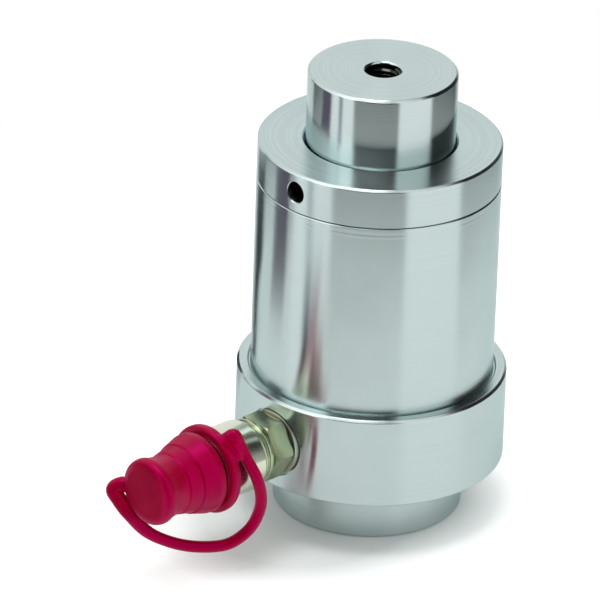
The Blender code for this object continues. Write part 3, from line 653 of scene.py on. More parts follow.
def tool_marks(tree, place, fine, long_way):
    """Noise drawn out into rings round the axis, on walls and on faces alike."""
    parts = add(tree, "SeparateXYZ", {"Vector": place}).outputs
    flat = add(tree, "CombineXYZ", {"X": parts["X"], "Y": parts["Y"]}).outputs["Vector"]
    radius = add(tree, "VectorMath", {0: flat}, operation="LENGTH").outputs["Value"]
    across = maths(tree, "ADD", parts["Z"], radius)
    drawn = {
        "X": maths(tree, "MULTIPLY", parts["X"], long_way),
        "Y": maths(tree, "MULTIPLY", parts["Y"], long_way),
        "Z": maths(tree, "MULTIPLY", across, fine),
    }
    return add(tree, "CombineXYZ", drawn).outputs["Vector"]


def noise(tree, vector, scale=1.0, detail=3.0, roughness=0.6):
    inputs = {"Vector": vector, "Scale": scale, "Detail": detail, "Roughness": roughness}
    return add(tree, "TexNoise", inputs, noise_dimensions="3D").outputs["Fac"]


def tapped_hole_painted_shade(tree, radius, height):
    """Share of painted shade on the ram: all of it inside the tapped hole."""
    narrow = remap(tree, radius, TAPPED_HOLE_RADIUS, TAPPED_HOLE_RADIUS + TAPPED_HOLE_CHAMFER, 1.0, 0.0)
    sunk = remap(tree, height, RAM_TOP - 0.0012, RAM_TOP - 0.0003, 1.0, 0.0)
    above = maths(tree, "GREATER_THAN", height, RAM_BORE_TOP)
    return maths(tree, "MULTIPLY", maths(tree, "MULTIPLY", narrow, sunk), above)


def pin_hole_painted_shade(tree, radius, height):
    """Share of painted shade on the gland: all of it inside the pin holes, which end outside its bore."""
    middle = GLAND_TOP - PIN_HOLE_DROP
    off = maths(tree, "ABSOLUTE", maths(tree, "SUBTRACT", height, middle))
    level = maths(tree, "LESS_THAN", off, PIN_HOLE_RADIUS + 0.0001)
    deep = remap(tree, radius, BARREL_RADIUS - 0.0022, BARREL_RADIUS - 0.0006, 1.0, 0.0)
    outside = maths(tree, "GREATER_THAN", radius, GLAND_GROOVE_RADIUS + 0.0005)
    return maths(tree, "MULTIPLY", maths(tree, "MULTIPLY", level, deep), outside)


def shade_painted_in_holes(tree, place, skin, hole_shade):
    """Steel blackened with painted shade where a function of radius and height gives a share of it."""
    parts = add(tree, "SeparateXYZ", {"Vector": place}).outputs
    flat = add(tree, "CombineXYZ", {"X": parts["X"], "Y": parts["Y"]}).outputs["Vector"]
    radius = add(tree, "VectorMath", {0: flat}, operation="LENGTH").outputs["Value"]
    share = hole_shade(tree, radius, parts["Z"])
    node = tree.nodes.new("ShaderNodeMix")
    node.data_type = "RGBA"
    tree.links.new(share, node.inputs[0])
    tree.links.new(skin, node.inputs[6])
    # Near-black colour of the painted shade inside the holes
    node.inputs[7].default_value = (0.05, 0.055, 0.05, 1.0)
    return node.outputs[2]


def turned_metal(name, colour, coupling=False, roughness=0.3, spread=0.95, pitch=0.0011, hole_shade=None):
    """Steel with rings left by the lathe, and reflections drawn out across them."""
    shade = 0.045
    material, tree, shader = new_finish(name)
    place = centred(tree, coupling)
    lean = add(tree, "SeparateXYZ", {"Vector": add(tree, "NewGeometry").outputs["True Normal"]}).outputs
    facing = maths(tree, "ABSOLUTE", lean["X" if coupling else "Z"])
    depth = remap(tree, facing, 0.5, 0.9, 0.000006, 0.000028)
    coarse = noise(tree, tool_marks(tree, place, 1 / pitch, 5.0), detail=4.0)
    fine = noise(tree, tool_marks(tree, place, 6 / pitch, 12.0), detail=2.0)
    patches = noise(tree, place, scale=38.0, detail=3.0)
    dark = [value * (1 - 1.6 * shade) for value in colour]
    light = [min(1.0, value * (1 + shade)) for value in colour]
    calm = remap(tree, facing, 0.5, 0.9, 0.4, 1.0)
    band = maths(tree, "MULTIPLY", remap(tree, coarse, 0.32, 0.68, 0.0, 1.0), calm)
    skin = tint(tree, band, dark, light)
    # Painted shade: steel blackened inside the holes that the given function marks
    if hole_shade:
        skin = shade_painted_in_holes(tree, place, skin, hole_shade)
    tree.links.new(skin, shader.inputs["Base Color"])
    worn = maths(tree, "MULTIPLY_ADD", patches, 0.10, roughness - 0.05)
    rough = maths(tree, "MULTIPLY_ADD", coarse, 0.06, maths(tree, "SUBTRACT", worn, 0.03))
    tree.links.new(rough, shader.inputs["Roughness"])
    height = maths(tree, "MULTIPLY_ADD", fine, 0.35, coarse)
    bump = add(tree, "Bump", {"Height": height, "Strength": 1.0, "Distance": depth})
    tree.links.new(bump.outputs["Normal"], shader.inputs["Normal"])
    tangent = add(tree, "Tangent", direction_type="RADIAL", axis="X" if coupling else "Z")
    tree.links.new(tangent.outputs["Tangent"], shader.inputs["Tangent"])
    shader.inputs["Metallic"].default_value = 1.0
    shader.inputs["Anisotropic"].default_value = spread
    shader.inputs["Anisotropic Rotation"].default_value = 0.25
    shader.inputs["Specular Tint"].default_value = (0.74, 0.82, 0.82, 1.0)
    return material


def plated(name, colour, second, roughness):
    """Plating whose colour drifts over the piece, with faint marks of the tool under it."""
    material, tree, shader = new_finish(name)
    place = centred(tree, True)
    drift = noise(tree, place, scale=170.0, detail=3.0)
    tree.links.new(tint(tree, remap(tree, drift, 0.3, 0.7, 0.0, 1.0), colour, second), shader.inputs["Base Color"])
    marks = noise(tree, tool_marks(tree, place, 1800.0, 60.0), detail=3.0)
    tree.links.new(maths(tree, "MULTIPLY_ADD", marks, 0.16, roughness - 0.08), shader.inputs["Roughness"])
    bump = add(tree, "Bump", {"Height": marks, "Strength": 1.0, "Distance": 0.000012})
    tree.links.new(bump.outputs["Normal"], shader.inputs["Normal"])
    shader.inputs["Metallic"].default_value = 1.0
    return material


def drawn_wire(name, colour):
    """Spring wire: dark drawn steel with a dull skin."""
    material, tree, shader = new_finish(name)
    place = add(tree, "TexCoord").outputs["Object"]
    skin = noise(tree, place, scale=900.0, detail=4.0)
    bright = [value * 1.35 for value in colour]
    tree.links.new(tint(tree, remap(tree, skin, 0.35, 0.7, 0.0, 1.0), colour, bright), shader.inputs["Base Color"])
    tree.links.new(remap(tree, skin, 0.3, 0.7, 0.32, 0.48), shader.inputs["Roughness"])
    shader.inputs["Metallic"].default_value = 1.0
    return material


def moulded(name, colour, roughness, grain, depth, lighter=1.3):
    """Rubber or plastic with a fine grain from its mould."""
    material, tree, shader = new_finish(name)
    place = add(tree, "TexCoord").outputs["Object"]
    cloud = noise(tree, place, scale=120.0, detail=3.0)
    pale = [min(1.0, value * lighter) for value in colour]
    tree.links.new(tint(tree, remap(tree, cloud, 0.35, 0.65, 0.0, 1.0), colour, pale), shader.inputs["Base Color"])
    skin = noise(tree, place, scale=grain, detail=2.0)
    tree.links.new(maths(tree, "MULTIPLY_ADD", cloud, 0.14, roughness - 0.07), shader.inputs["Roughness"])
    bump = add(tree, "Bump", {"Height": skin, "Strength": 1.0, "Distance": depth})
    tree.links.new(bump.outputs["Normal"], shader.inputs["Normal"])
    return material


def red_plastic(name, colour):
    """Soft crimson moulding whose shine is magenta."""
    material = moulded(name, colour, 0.38, 1400.0, 0.00001, 1.25)
    shader = material.node_tree.nodes["Principled BSDF"]
    shader.inputs["IOR"].default_value = 2.6
    shader.inputs["Specular Tint"].default_value = (0.65, 0.0, 0.24, 1.0)
    shader.inputs["Sheen Weight"].default_value = 0.3
    shader.inputs["Sheen Roughness"].default_value = 0.45
    shader.inputs["Sheen Tint"].default_value = (1.0, 0.0, 0.4, 1.0)
    return material


def finish(slot):
    """The finish of a record slot, made once."""
    held = bpy.data.materials.get("finish_" + slot)
    if held:
        return held
    colours = bpy.context.scene.cylinder_colours
    name = "finish_" + slot
    if slot == "machined_steel":
        return turned_metal(name, colours.steel, roughness=0.21, hole_shade=pin_hole_painted_shade)
    if slot == "ground_steel":
        return turned_metal(name, colours.ram, roughness=0.165, pitch=0.0008, hole_shade=tapped_hole_painted_shade)
    if slot == "plain_steel":
        return turned_metal(name, colours.plain, roughness=0.38, spread=0.7)
    if slot == "spring_steel":
        return drawn_wire(name, colours.spring)
    if slot == "zinc_plate":
        return plated(name, colours.zinc, (0.48, 0.52, 0.31), 0.22)
    if slot == "washer_zinc":
        return plated(name, colours.dull_zinc, (0.62, 0.60, 0.48), 0.34)
    if slot == "nickel_plate":
        return plated(name, colours.nickel, (0.74, 0.74, 0.58), 0.18)
    if slot == "black_rubber":
        return moulded(name, colours.rubber, 0.55, 2200.0, 0.00001, 1.6)
    if slot == "seal_polyurethane":
        return moulded(name, colours.seal, 0.42, 1600.0, 0.000006, 1.2)
    if slot == "guide_strip":
        return moulded(name, colours.guide, 0.5, 2600.0, 0.000012, 1.35)
    if slot == "red_plastic":
        return red_plastic(name, colours.plastic)
    raise RuntimeError(f"no finish for {slot}")


def dress(obj, slot, body, *nodes):
    """Gives a finished piece its finish and its body, and hides the nodes that it stands for."""
    material = finish(slot)
    obj.data.materials.clear()
    obj.data.materials.append(material)
    if body:
        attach(obj, body)
    if nodes:
        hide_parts(*nodes)
    return obj


# Pieces


class CYLINDER_OT_body(Operator):
    """Turn the body, with its port and the gland's thread."""

    bl_idname = "cylinder.body"
    bl_label = "Body"

    def execute(self, context):
        anchor_bottom = ROD_BOTTOM - GAP
        ledge = SKIRT_BOTTOM - GAP
        relief_radius = BARREL_RADIUS + RELIEF_WIDTH
        outline = [
            (0, anchor_bottom),
            (ROD_RADIUS + GAP, anchor_bottom),
            (ROD_RADIUS + GAP, CHAMBER_FLOOR),
            (BORE_RADIUS, CHAMBER_FLOOR),
            (BORE_RADIUS, ledge),
            (GLAND_THREAD_RADIUS, ledge),
            (GLAND_THREAD_RADIUS, BARREL_TOP),
            (BARREL_RADIUS - SEAM_CHAMFER, BARREL_TOP, 0.00005),
            (BARREL_RADIUS, BARREL_TOP - SEAM_CHAMFER, 0.00005),
        ]
        for line in WITNESS_LINES:
            outline += [
                (BARREL_RADIUS, line + 0.0002, 0),
                (BARREL_RADIUS - 0.00004, line, 0),
                (BARREL_RADIUS, line - 0.0002, 0),
            ]
        outline += [
            (BARREL_RADIUS, COLLAR_TOP - RELIEF_DEPTH),
            (relief_radius, COLLAR_TOP - RELIEF_DEPTH),
            (relief_radius, COLLAR_TOP - RELIEF_CHAMFER, 0.00005),
            (relief_radius + RELIEF_CHAMFER, COLLAR_TOP, 0.00005),
            (COLLAR_RADIUS - COLLAR_EDGE, COLLAR_TOP),
            (COLLAR_RADIUS, COLLAR_TOP - COLLAR_EDGE),
            (COLLAR_RADIUS, FOOT_HEIGHT + COLLAR_EDGE / 2),
            (COLLAR_RADIUS - COLLAR_EDGE / 2, FOOT_HEIGHT),
            (FOOT_RADIUS, FOOT_HEIGHT),
            (FOOT_RADIUS, FOOT_EDGE),
            (FOOT_RADIUS - FOOT_EDGE, 0),
            (0, 0),
        ]
        body = turned("turned_body", outline, steps=256)
        clear = COLLAR_RADIUS + SPOTFACE_RADIUS
        port_in = PORT_THREAD_IN - GAP
        cut(body, drilled("spotface", SPOTFACE_RADIUS, outward(clear), outward(SPOTFACE_OUT), steps=96))
        cut(body, drilled("port", PORT_THREAD_RADIUS + GAP, outward(clear), outward(port_in), steps=64))
        deep = BORE_RADIUS - OVERCUT
        cut(body, drilled("passage", PASSAGE_RADIUS, outward(port_in + OVERCUT), outward(deep), steps=32))
        dress(smooth(body), "machined_steel", "body", "cylinder_body")
        return {"FINISHED"}


class CYLINDER_OT_gland(Operator):
    """Turn the gland ring, with its two pin holes, and the seals inside it."""

    bl_idname = "cylinder.gland"
    bl_label = "Gland and seals"

    def execute(self, context):
        skirt_radius = GLAND_THREAD_RADIUS - GAP
        outline = [
            (GLAND_HOLE_RADIUS + GLAND_MOUTH_CHAMFER, GLAND_TOP, 0.00005),
            (BARREL_RADIUS - GLAND_EDGE, GLAND_TOP),
            (BARREL_RADIUS, GLAND_TOP - GLAND_EDGE),
            (BARREL_RADIUS, BARREL_TOP + GAP + SEAM_CHAMFER, 0.00005),
            (BARREL_RADIUS - SEAM_CHAMFER, BARREL_TOP + GAP, 0.00005),
            (skirt_radius, BARREL_TOP + GAP),
            (skirt_radius, GLAND_GROOVE_TOP),
            (GLAND_GROOVE_RADIUS, GLAND_GROOVE_TOP),
            (GLAND_GROOVE_RADIUS, GLAND_GROOVE_BOTTOM),
            (skirt_radius, GLAND_GROOVE_BOTTOM),
            (skirt_radius, SKIRT_BOTTOM),
            (GLAND_HOLE_RADIUS, SKIRT_BOTTOM),
            (GLAND_HOLE_RADIUS, RAM_GUIDE_BOTTOM),
            (RAM_GUIDE_RADIUS, RAM_GUIDE_BOTTOM),
            (RAM_GUIDE_RADIUS, RAM_GUIDE_TOP),
            (GLAND_HOLE_RADIUS, RAM_GUIDE_TOP),
            (GLAND_HOLE_RADIUS, ROD_SEAL_BOTTOM),
            (ROD_SEAL_RADIUS, ROD_SEAL_BOTTOM),
            (ROD_SEAL_RADIUS, ROD_SEAL_TOP),
            (GLAND_HOLE_RADIUS, ROD_SEAL_TOP),
            (GLAND_HOLE_RADIUS, WIPER_BOTTOM),
            (WIPER_RADIUS, WIPER_BOTTOM),
            (WIPER_RADIUS, WIPER_TOP),
            (GLAND_HOLE_RADIUS, WIPER_TOP),
            (GLAND_HOLE_RADIUS, GLAND_TOP - GLAND_MOUTH_CHAMFER, 0.00005),
        ]
        gland = turned("gland_ring", outline, closed=True, steps=256)
        for side in (0, 180):
            angle = radians(PIN_HOLE_ANGLE + side)
            towards = Vector((cos(angle), sin(angle), 0))
            lift = Vector((0, 0, GLAND_TOP - PIN_HOLE_DROP))
            mouth = towards * (BARREL_RADIUS + OVERCUT) + lift
            bottom = towards * (BARREL_RADIUS - PIN_HOLE_DEPTH + 0.0012) + lift
            cut(gland, drilled("pin_hole", PIN_HOLE_RADIUS, mouth, bottom, 0.0012, PIN_HOLE_CHAMFER, steps=48))
        dress(smooth(gland), "machined_steel", "body", "gland_nut")

        inner = RAM_RADIUS + GAP
        wiper = [
            (WIPER_RADIUS - GAP, WIPER_TOP - GAP),
            (WIPER_RADIUS - GAP, WIPER_BOTTOM + GAP),
            (inner + LIP_NOTCH, WIPER_BOTTOM + GAP),
            (inner, WIPER_TOP - GAP - LIP_NOTCH),
            (inner, WIPER_TOP - GAP),
        ]
        rod_seal = [
            (ROD_SEAL_RADIUS - GAP, ROD_SEAL_TOP - GAP),
            (ROD_SEAL_RADIUS - GAP, ROD_SEAL_BOTTOM + GAP),
            ((inner + ROD_SEAL_RADIUS - GAP) / 2, ROD_SEAL_BOTTOM + GAP + LIP_NOTCH),
            (inner, ROD_SEAL_BOTTOM + GAP),
            (inner, ROD_SEAL_TOP - GAP),
        ]
        guide = ring_outline(inner, RAM_GUIDE_RADIUS - GAP, RAM_GUIDE_BOTTOM + GAP, RAM_GUIDE_TOP - GAP)
        for name, outline, slot, node in (
            ("wiper_lip", wiper, "seal_polyurethane", "wiper_ring"),
            ("rod_seal_lip", rod_seal, "seal_polyurethane", "rod_seal"),
            ("ram_guide_band", guide, "guide_strip", "ram_guide_ring"),
        ):
            dress(smooth(turned(name, outline, closed=True)), slot, "body", node)
        middle = (GLAND_GROOVE_BOTTOM + GLAND_GROOVE_TOP) / 2
        o_ring("gland_seal_ring", GLAND_GROOVE_RADIUS, GLAND_THREAD_RADIUS, middle, False, "body", "gland_o_ring")
        return {"FINISHED"}


def o_ring(name, inner, outer, middle, coupling, body, node):
    """Round rubber ring between a groove's bottom and the wall that closes it."""
    section = (outer - inner) / 2 - GAP
    centre = (outer + inner) / 2
    sides = 20
    outline = []
    for side in range(sides):
        angle = 2 * pi * side / sides
        outline.append((centre + section * cos(angle), middle + section * sin(angle), 0))
    ring = turned(name, outline, closed=True, coupling=coupling, steps=96)
    return dress(smooth(ring, 60), "black_rubber", body, node)


class CYLINDER_OT_ram(Operator):
    """Turn the hollow ram and cut the thread in its end."""

    bl_idname = "cylinder.ram"
    bl_label = "Ram"

    def execute(self, context):
        sizes = context.scene.cylinder_sizes
        hole_bottom = RAM_TOP - TAPPED_HOLE_DEPTH
        outline = [
            (0, hole_bottom - DRILL_POINT),
            (TAPPED_HOLE_RADIUS, hole_bottom),
            (TAPPED_HOLE_RADIUS, RAM_TOP - TAPPED_HOLE_CHAMFER),
            (TAPPED_HOLE_RADIUS + TAPPED_HOLE_CHAMFER, RAM_TOP),
            (RAM_RADIUS - RAM_EDGE, RAM_TOP),
            (RAM_RADIUS, RAM_TOP - RAM_EDGE),
            (RAM_RADIUS, RAM_SHOULDER),
            (SPIGOT_RADIUS, RAM_SHOULDER),
            (SPIGOT_RADIUS, RAM_BOTTOM),
            (RAM_BORE_RADIUS, RAM_BOTTOM),
            (RAM_BORE_RADIUS, RAM_BORE_TOP),
            (0, RAM_BORE_TOP),
        ]
        dress(smooth(turned("ram_rod", outline)), "ground_steel", "ram", "ram")
        pitch = sizes.thread_pitch
        root = TAPPED_HOLE_RADIUS + 0.0001
        crest = TAPPED_HOLE_RADIUS - sizes.thread_depth
        low = hole_bottom + pitch
        section = [
            (root, low - 0.45 * pitch),
            (crest, low - 0.08 * pitch),
            (crest, low + 0.08 * pitch),
            (root, low + 0.45 * pitch),
        ]
        turns = int((TAPPED_HOLE_DEPTH - TAPPED_HOLE_CHAMFER - 1.5 * pitch) / pitch)
        thread = wound("ram_thread", section, [(turns, pitch)], 48)
        dress(smooth(thread), "ground_steel", "ram")
        return {"FINISHED"}


class CYLINDER_OT_piston(Operator):
    """Turn the piston and its rings."""

    bl_idname = "cylinder.piston"
    bl_label = "Piston and rings"

    def execute(self, context):
        piston = [
            (PISTON_RADIUS, PISTON_TOP),
            (PISTON_RADIUS, PISTON_GUIDE_TOP),
            (PISTON_GUIDE_RADIUS, PISTON_GUIDE_TOP),
            (PISTON_GUIDE_RADIUS, PISTON_GUIDE_BOTTOM),
            (PISTON_RADIUS, PISTON_GUIDE_BOTTOM),
            (PISTON_RADIUS, PISTON_SEAL_TOP),
            (PISTON_SEAL_RADIUS, PISTON_SEAL_TOP),
            (PISTON_SEAL_RADIUS, PISTON_SEAL_BOTTOM),
            (PISTON_RADIUS, PISTON_SEAL_BOTTOM),
            (PISTON_RADIUS, PISTON_NOSE_TOP),
            (PISTON_NOSE_RADIUS, PISTON_NOSE_TOP),
            (PISTON_NOSE_RADIUS, PISTON_BOTTOM),
            (SPIGOT_RADIUS + GAP, PISTON_BOTTOM),
            (SPIGOT_RADIUS + GAP, PISTON_TOP),
        ]
        inner = PISTON_SEAL_RADIUS + GAP
        backup_top = PISTON_SEAL_TOP - GAP
        backup_bottom = backup_top - BACKUP_HEIGHT
        backup = ring_outline(inner, PISTON_RADIUS, backup_bottom, backup_top)
        seal_top = backup_bottom - GAP
        seal_bottom = PISTON_SEAL_BOTTOM + GAP
        seal = [
            (PISTON_RADIUS, seal_top),
            (PISTON_RADIUS, seal_bottom),
            ((inner + PISTON_RADIUS) / 2, seal_bottom + LIP_NOTCH),
            (inner, seal_bottom),
            (inner, seal_top),
        ]
        guide = ring_outline(
            PISTON_GUIDE_RADIUS + GAP, PISTON_RADIUS, PISTON_GUIDE_BOTTOM + GAP, PISTON_GUIDE_TOP - GAP
        )
        for name, outline, slot, node in (
            ("piston_head", piston, "plain_steel", "piston"),
            ("piston_lip", seal, "seal_polyurethane", "piston_seal"),
            ("piston_backup", backup, "guide_strip", "piston_backup_ring"),
            ("piston_guide_band", guide, "guide_strip", "piston_guide_ring"),
        ):
            dress(smooth(turned(name, outline, closed=True)), slot, "ram", node)
        return {"FINISHED"}


class CYLINDER_OT_return_spring(Operator):
    """Wind the return spring, with the rod, washer, nut and seat that hold it."""

    bl_idname = "cylinder.return_spring"
    bl_label = "Return spring"

    def execute(self, context):
        tip = 0.001
        rod = [
            (0, ROD_TOP),
            (ROD_RADIUS - tip, ROD_TOP),
            (ROD_RADIUS, ROD_TOP - tip),
            (ROD_RADIUS, ROD_BOTTOM),
            (0, ROD_BOTTOM),
        ]
        dress(smooth(turned("spring_stud", rod, steps=64)), "plain_steel", "body", "spring_rod")
        hanger = ring_outline(ROD_RADIUS + GAP, HANGER_RADIUS, HANGER_BOTTOM, HANGER_TOP)
        washer = turned("spring_hanger", hanger, closed=True, steps=96)
        dress(smooth(washer), "washer_zinc", "body", "spring_washer")
        seat_outline = ring_outline(SEAT_HOLE_RADIUS, SEAT_RADIUS, RAM_BOTTOM + GAP, SEAT_TOP)
        seat = turned("spring_seat_ring", seat_outline, closed=True, steps=96)
        dress(smooth(seat), "plain_steel", "ram", "spring_seat")

        corner = reach("rod_nut", 1, 1)
        chamfer = corner * 0.13
        nut_outline = [
            (ROD_RADIUS + GAP, NUT_TOP),
            (corner - chamfer, NUT_TOP),
            (corner, NUT_TOP - chamfer * 0.5),
            (corner, NUT_BOTTOM + chamfer * 0.5),
            (corner - chamfer, NUT_BOTTOM),
            (ROD_RADIUS + GAP, NUT_BOTTOM),
        ]
        nut = turned("rod_nut_hexagon", nut_outline, closed=True, steps=96)
        prism = hexagon("nut_flats", corner, NUT_BOTTOM - OVERCUT, NUT_TOP + OVERCUT)
        cut(nut, prism, "INTERSECT")
        dress(smooth(nut), "washer_zinc", "body", "rod_nut")

        coil = spring(
            "return_coil", SPRING_RADIUS, SPRING_WIRE, SPRING_TURNS, SEAT_TOP + GAP, HANGER_BOTTOM - GAP
        )
        dress(smooth(coil, 50), "spring_steel", "body", "return_spring")
        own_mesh(coil)
        return {"FINISHED"}


class CYLINDER_OT_coupling(Operator):
    """Turn the adapter with its hexagon, the bonded seal and the nipple."""

    bl_idname = "cylinder.coupling"
    bl_label = "Coupling"

    def execute(self, context):
        metal = [
            (WASHER_RADIUS, WASHER_OUT),
            (WASHER_RADIUS, WASHER_IN),
            (BONDED_METAL_RADIUS, WASHER_IN),
            (BONDED_METAL_RADIUS, WASHER_OUT),
        ]
        washer = turned("bonded_washer", metal, closed=True, coupling=True)
        dress(smooth(washer), "washer_zinc", "body", "seal_washer")
        thread = PORT_THREAD_RADIUS + GAP
        rubber = ring_outline(thread, BONDED_METAL_RADIUS - GAP, WASHER_IN, WASHER_OUT)
        lip = turned("bonded_rubber", rubber, closed=True, coupling=True)
        dress(smooth(lip), "black_rubber", "body", "seal_rubber")

        flats = 0.5 * sqrt(3) * HEX_CORNER
        chamfer_run = HEX_CHAMFER * sqrt(3)
        socket_bottom = STUB_OUT - SOCKET_DEPTH
        outline = [
            (SOCKET_RADIUS, STUB_OUT),
            (STUB_RADIUS, STUB_OUT),
            (STUB_RADIUS, STUB_GROOVE_OUT),
            (STUB_GROOVE_RADIUS, STUB_GROOVE_OUT),
            (STUB_GROOVE_RADIUS, STUB_GROOVE_IN),
            (STUB_RADIUS, STUB_GROOVE_IN),
            (STUB_RADIUS, FLANGE_OUT),
            (FLANGE_RADIUS, FLANGE_OUT, 0.0004),
            (FLANGE_RADIUS, FLANGE_OUT - 0.0016, 0.0003),
            (FLANGE_RADIUS - 0.0006, FLANGE_OUT - 0.0018),
            (FLANGE_RADIUS - 0.0006, FLANGE_OUT - 0.0023),
            (FLANGE_RADIUS, FLANGE_OUT - 0.0025, 0.0003),
            (FLANGE_RADIUS, FLANGE_IN, 0.0004),
            (GROOVE_RADIUS, FLANGE_IN),
            (GROOVE_RADIUS, HEX_OUT),
            (HEX_CORNER - chamfer_run, HEX_OUT),
            (HEX_CORNER, HEX_OUT - HEX_CHAMFER),
            (HEX_CORNER, HEX_IN + HEX_CHAMFER),
            (HEX_CORNER - chamfer_run, HEX_IN),
            (PORT_THREAD_RADIUS, HEX_IN),
            (PORT_THREAD_RADIUS, PORT_THREAD_IN),
            (ADAPTER_BORE_RADIUS, PORT_THREAD_IN),
            (ADAPTER_BORE_RADIUS, socket_bottom),
            (SOCKET_RADIUS, socket_bottom),
        ]
        adapter = turned("hex_adapter", outline, closed=True)
        waste_outline = ring_outline(GROOVE_RADIUS - GAP, 2 * flats, HEX_IN - GAP / 2, HEX_OUT + GAP)
        waste = turned("hex_waste", waste_outline, closed=True, steps=96)
        cut(waste, hexagon("hex_flats", HEX_CORNER, HEX_IN - HEX_LENGTH, HEX_OUT + HEX_LENGTH))
        cut(adapter, waste)
        adapter.data.transform(coupling_place())
        dress(smooth(adapter), "zinc_plate", "body", "coupling_adapter")
        middle = (STUB_GROOVE_IN + STUB_GROOVE_OUT) / 2
        o_ring("stub_seal_ring", STUB_GROOVE_RADIUS, STUB_RADIUS + GAP, middle, True, "body", "nipple_o_ring")

        nipple_outline = [
            (MOUTH_RADIUS + NOSE_CHAMFER, NIPPLE_OUT),
            (NOSE_RADIUS - NOSE_CHAMFER, NIPPLE_OUT),
            (NOSE_RADIUS, NIPPLE_OUT - NOSE_CHAMFER),
            (NOSE_RADIUS, NOSE_IN, 0.0003),
            (LAND_RADIUS, LAND_OUT, 0.0003),
            (LAND_RADIUS, LAND_IN, 0.0003),
            (LIP_RADIUS, LIP_OUT, 0.0003),
            (LIP_RADIUS, RING_SEAT_OUT),
            (RING_SEAT_RADIUS, RING_SEAT_OUT),
            (RING_SEAT_RADIUS, NECK_OUT),
            (NECK_RADIUS, NECK_OUT, 0.0003),
            (NECK_RADIUS, NIPPLE_IN + NECK_CHAMFER),
            (NECK_RADIUS - NECK_CHAMFER, NIPPLE_IN),
            (STUB_RADIUS + GAP, NIPPLE_IN),
            (STUB_RADIUS + GAP, STUB_OUT + GAP),
            (CHAMBER_RADIUS, STUB_OUT + GAP),
            (CHAMBER_RADIUS, SEAT_CONE_IN),
            (THROAT_RADIUS, THROAT_IN),
            (THROAT_RADIUS, THROAT_OUT),
            (MOUTH_RADIUS, THROAT_OUT),
            (MOUTH_RADIUS, NIPPLE_OUT - NOSE_CHAMFER),
        ]
        nipple = turned("quick_nipple", nipple_outline, closed=True, coupling=True)
        dress(smooth(nipple), "nickel_plate", "body", "nipple_body")
        return {"FINISHED"}


class CYLINDER_OT_poppet(Operator):
    """Turn the check poppet and wind its spring."""

    bl_idname = "cylinder.poppet"
    bl_label = "Poppet"

    def execute(self, context):
        outline = [
            (0, POPPET_TIP_OUT),
            (POPPET_TIP_RADIUS, POPPET_TIP_OUT, 0.0004),
            (POPPET_TIP_RADIUS, POPPET_TIP_IN),
            (POPPET_RADIUS, POPPET_HEAD_OUT),
            (POPPET_RADIUS, POPPET_GROOVE_OUT),
            (POPPET_GROOVE_RADIUS, POPPET_GROOVE_OUT),
            (POPPET_GROOVE_RADIUS, POPPET_GROOVE_IN),
            (POPPET_RADIUS, POPPET_GROOVE_IN),
            (POPPET_RADIUS, POPPET_HEAD_IN),
            (POPPET_STEM_RADIUS, POPPET_HEAD_IN),
            (POPPET_STEM_RADIUS, POPPET_STEM_IN, 0.0004),
            (0, POPPET_STEM_IN),
        ]
        poppet = turned("check_poppet", outline, coupling=True, steps=96)
        dress(smooth(poppet), "plain_steel", "poppet", "poppet")
        ring = ring_outline(
            POPPET_GROOVE_RADIUS + GAP, CHAMBER_RADIUS - GAP, POPPET_GROOVE_IN + GAP, POPPET_GROOVE_OUT - GAP
        )
        seal = turned("poppet_ring", [(*point, 0.0004) for point in ring], closed=True, coupling=True, steps=96)
        dress(smooth(seal), "black_rubber", "poppet", "poppet_seal")
        coil = spring(
            "poppet_coil", POPPET_SPRING_RADIUS, POPPET_SPRING_WIRE, POPPET_SPRING_TURNS,
            STUB_OUT - SOCKET_DEPTH + GAP, POPPET_HEAD_IN - GAP, coupling=True,
        )
        dress(smooth(coil, 50), "spring_steel", "body", "poppet_spring")
        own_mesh(coil)
        return {"FINISHED"}


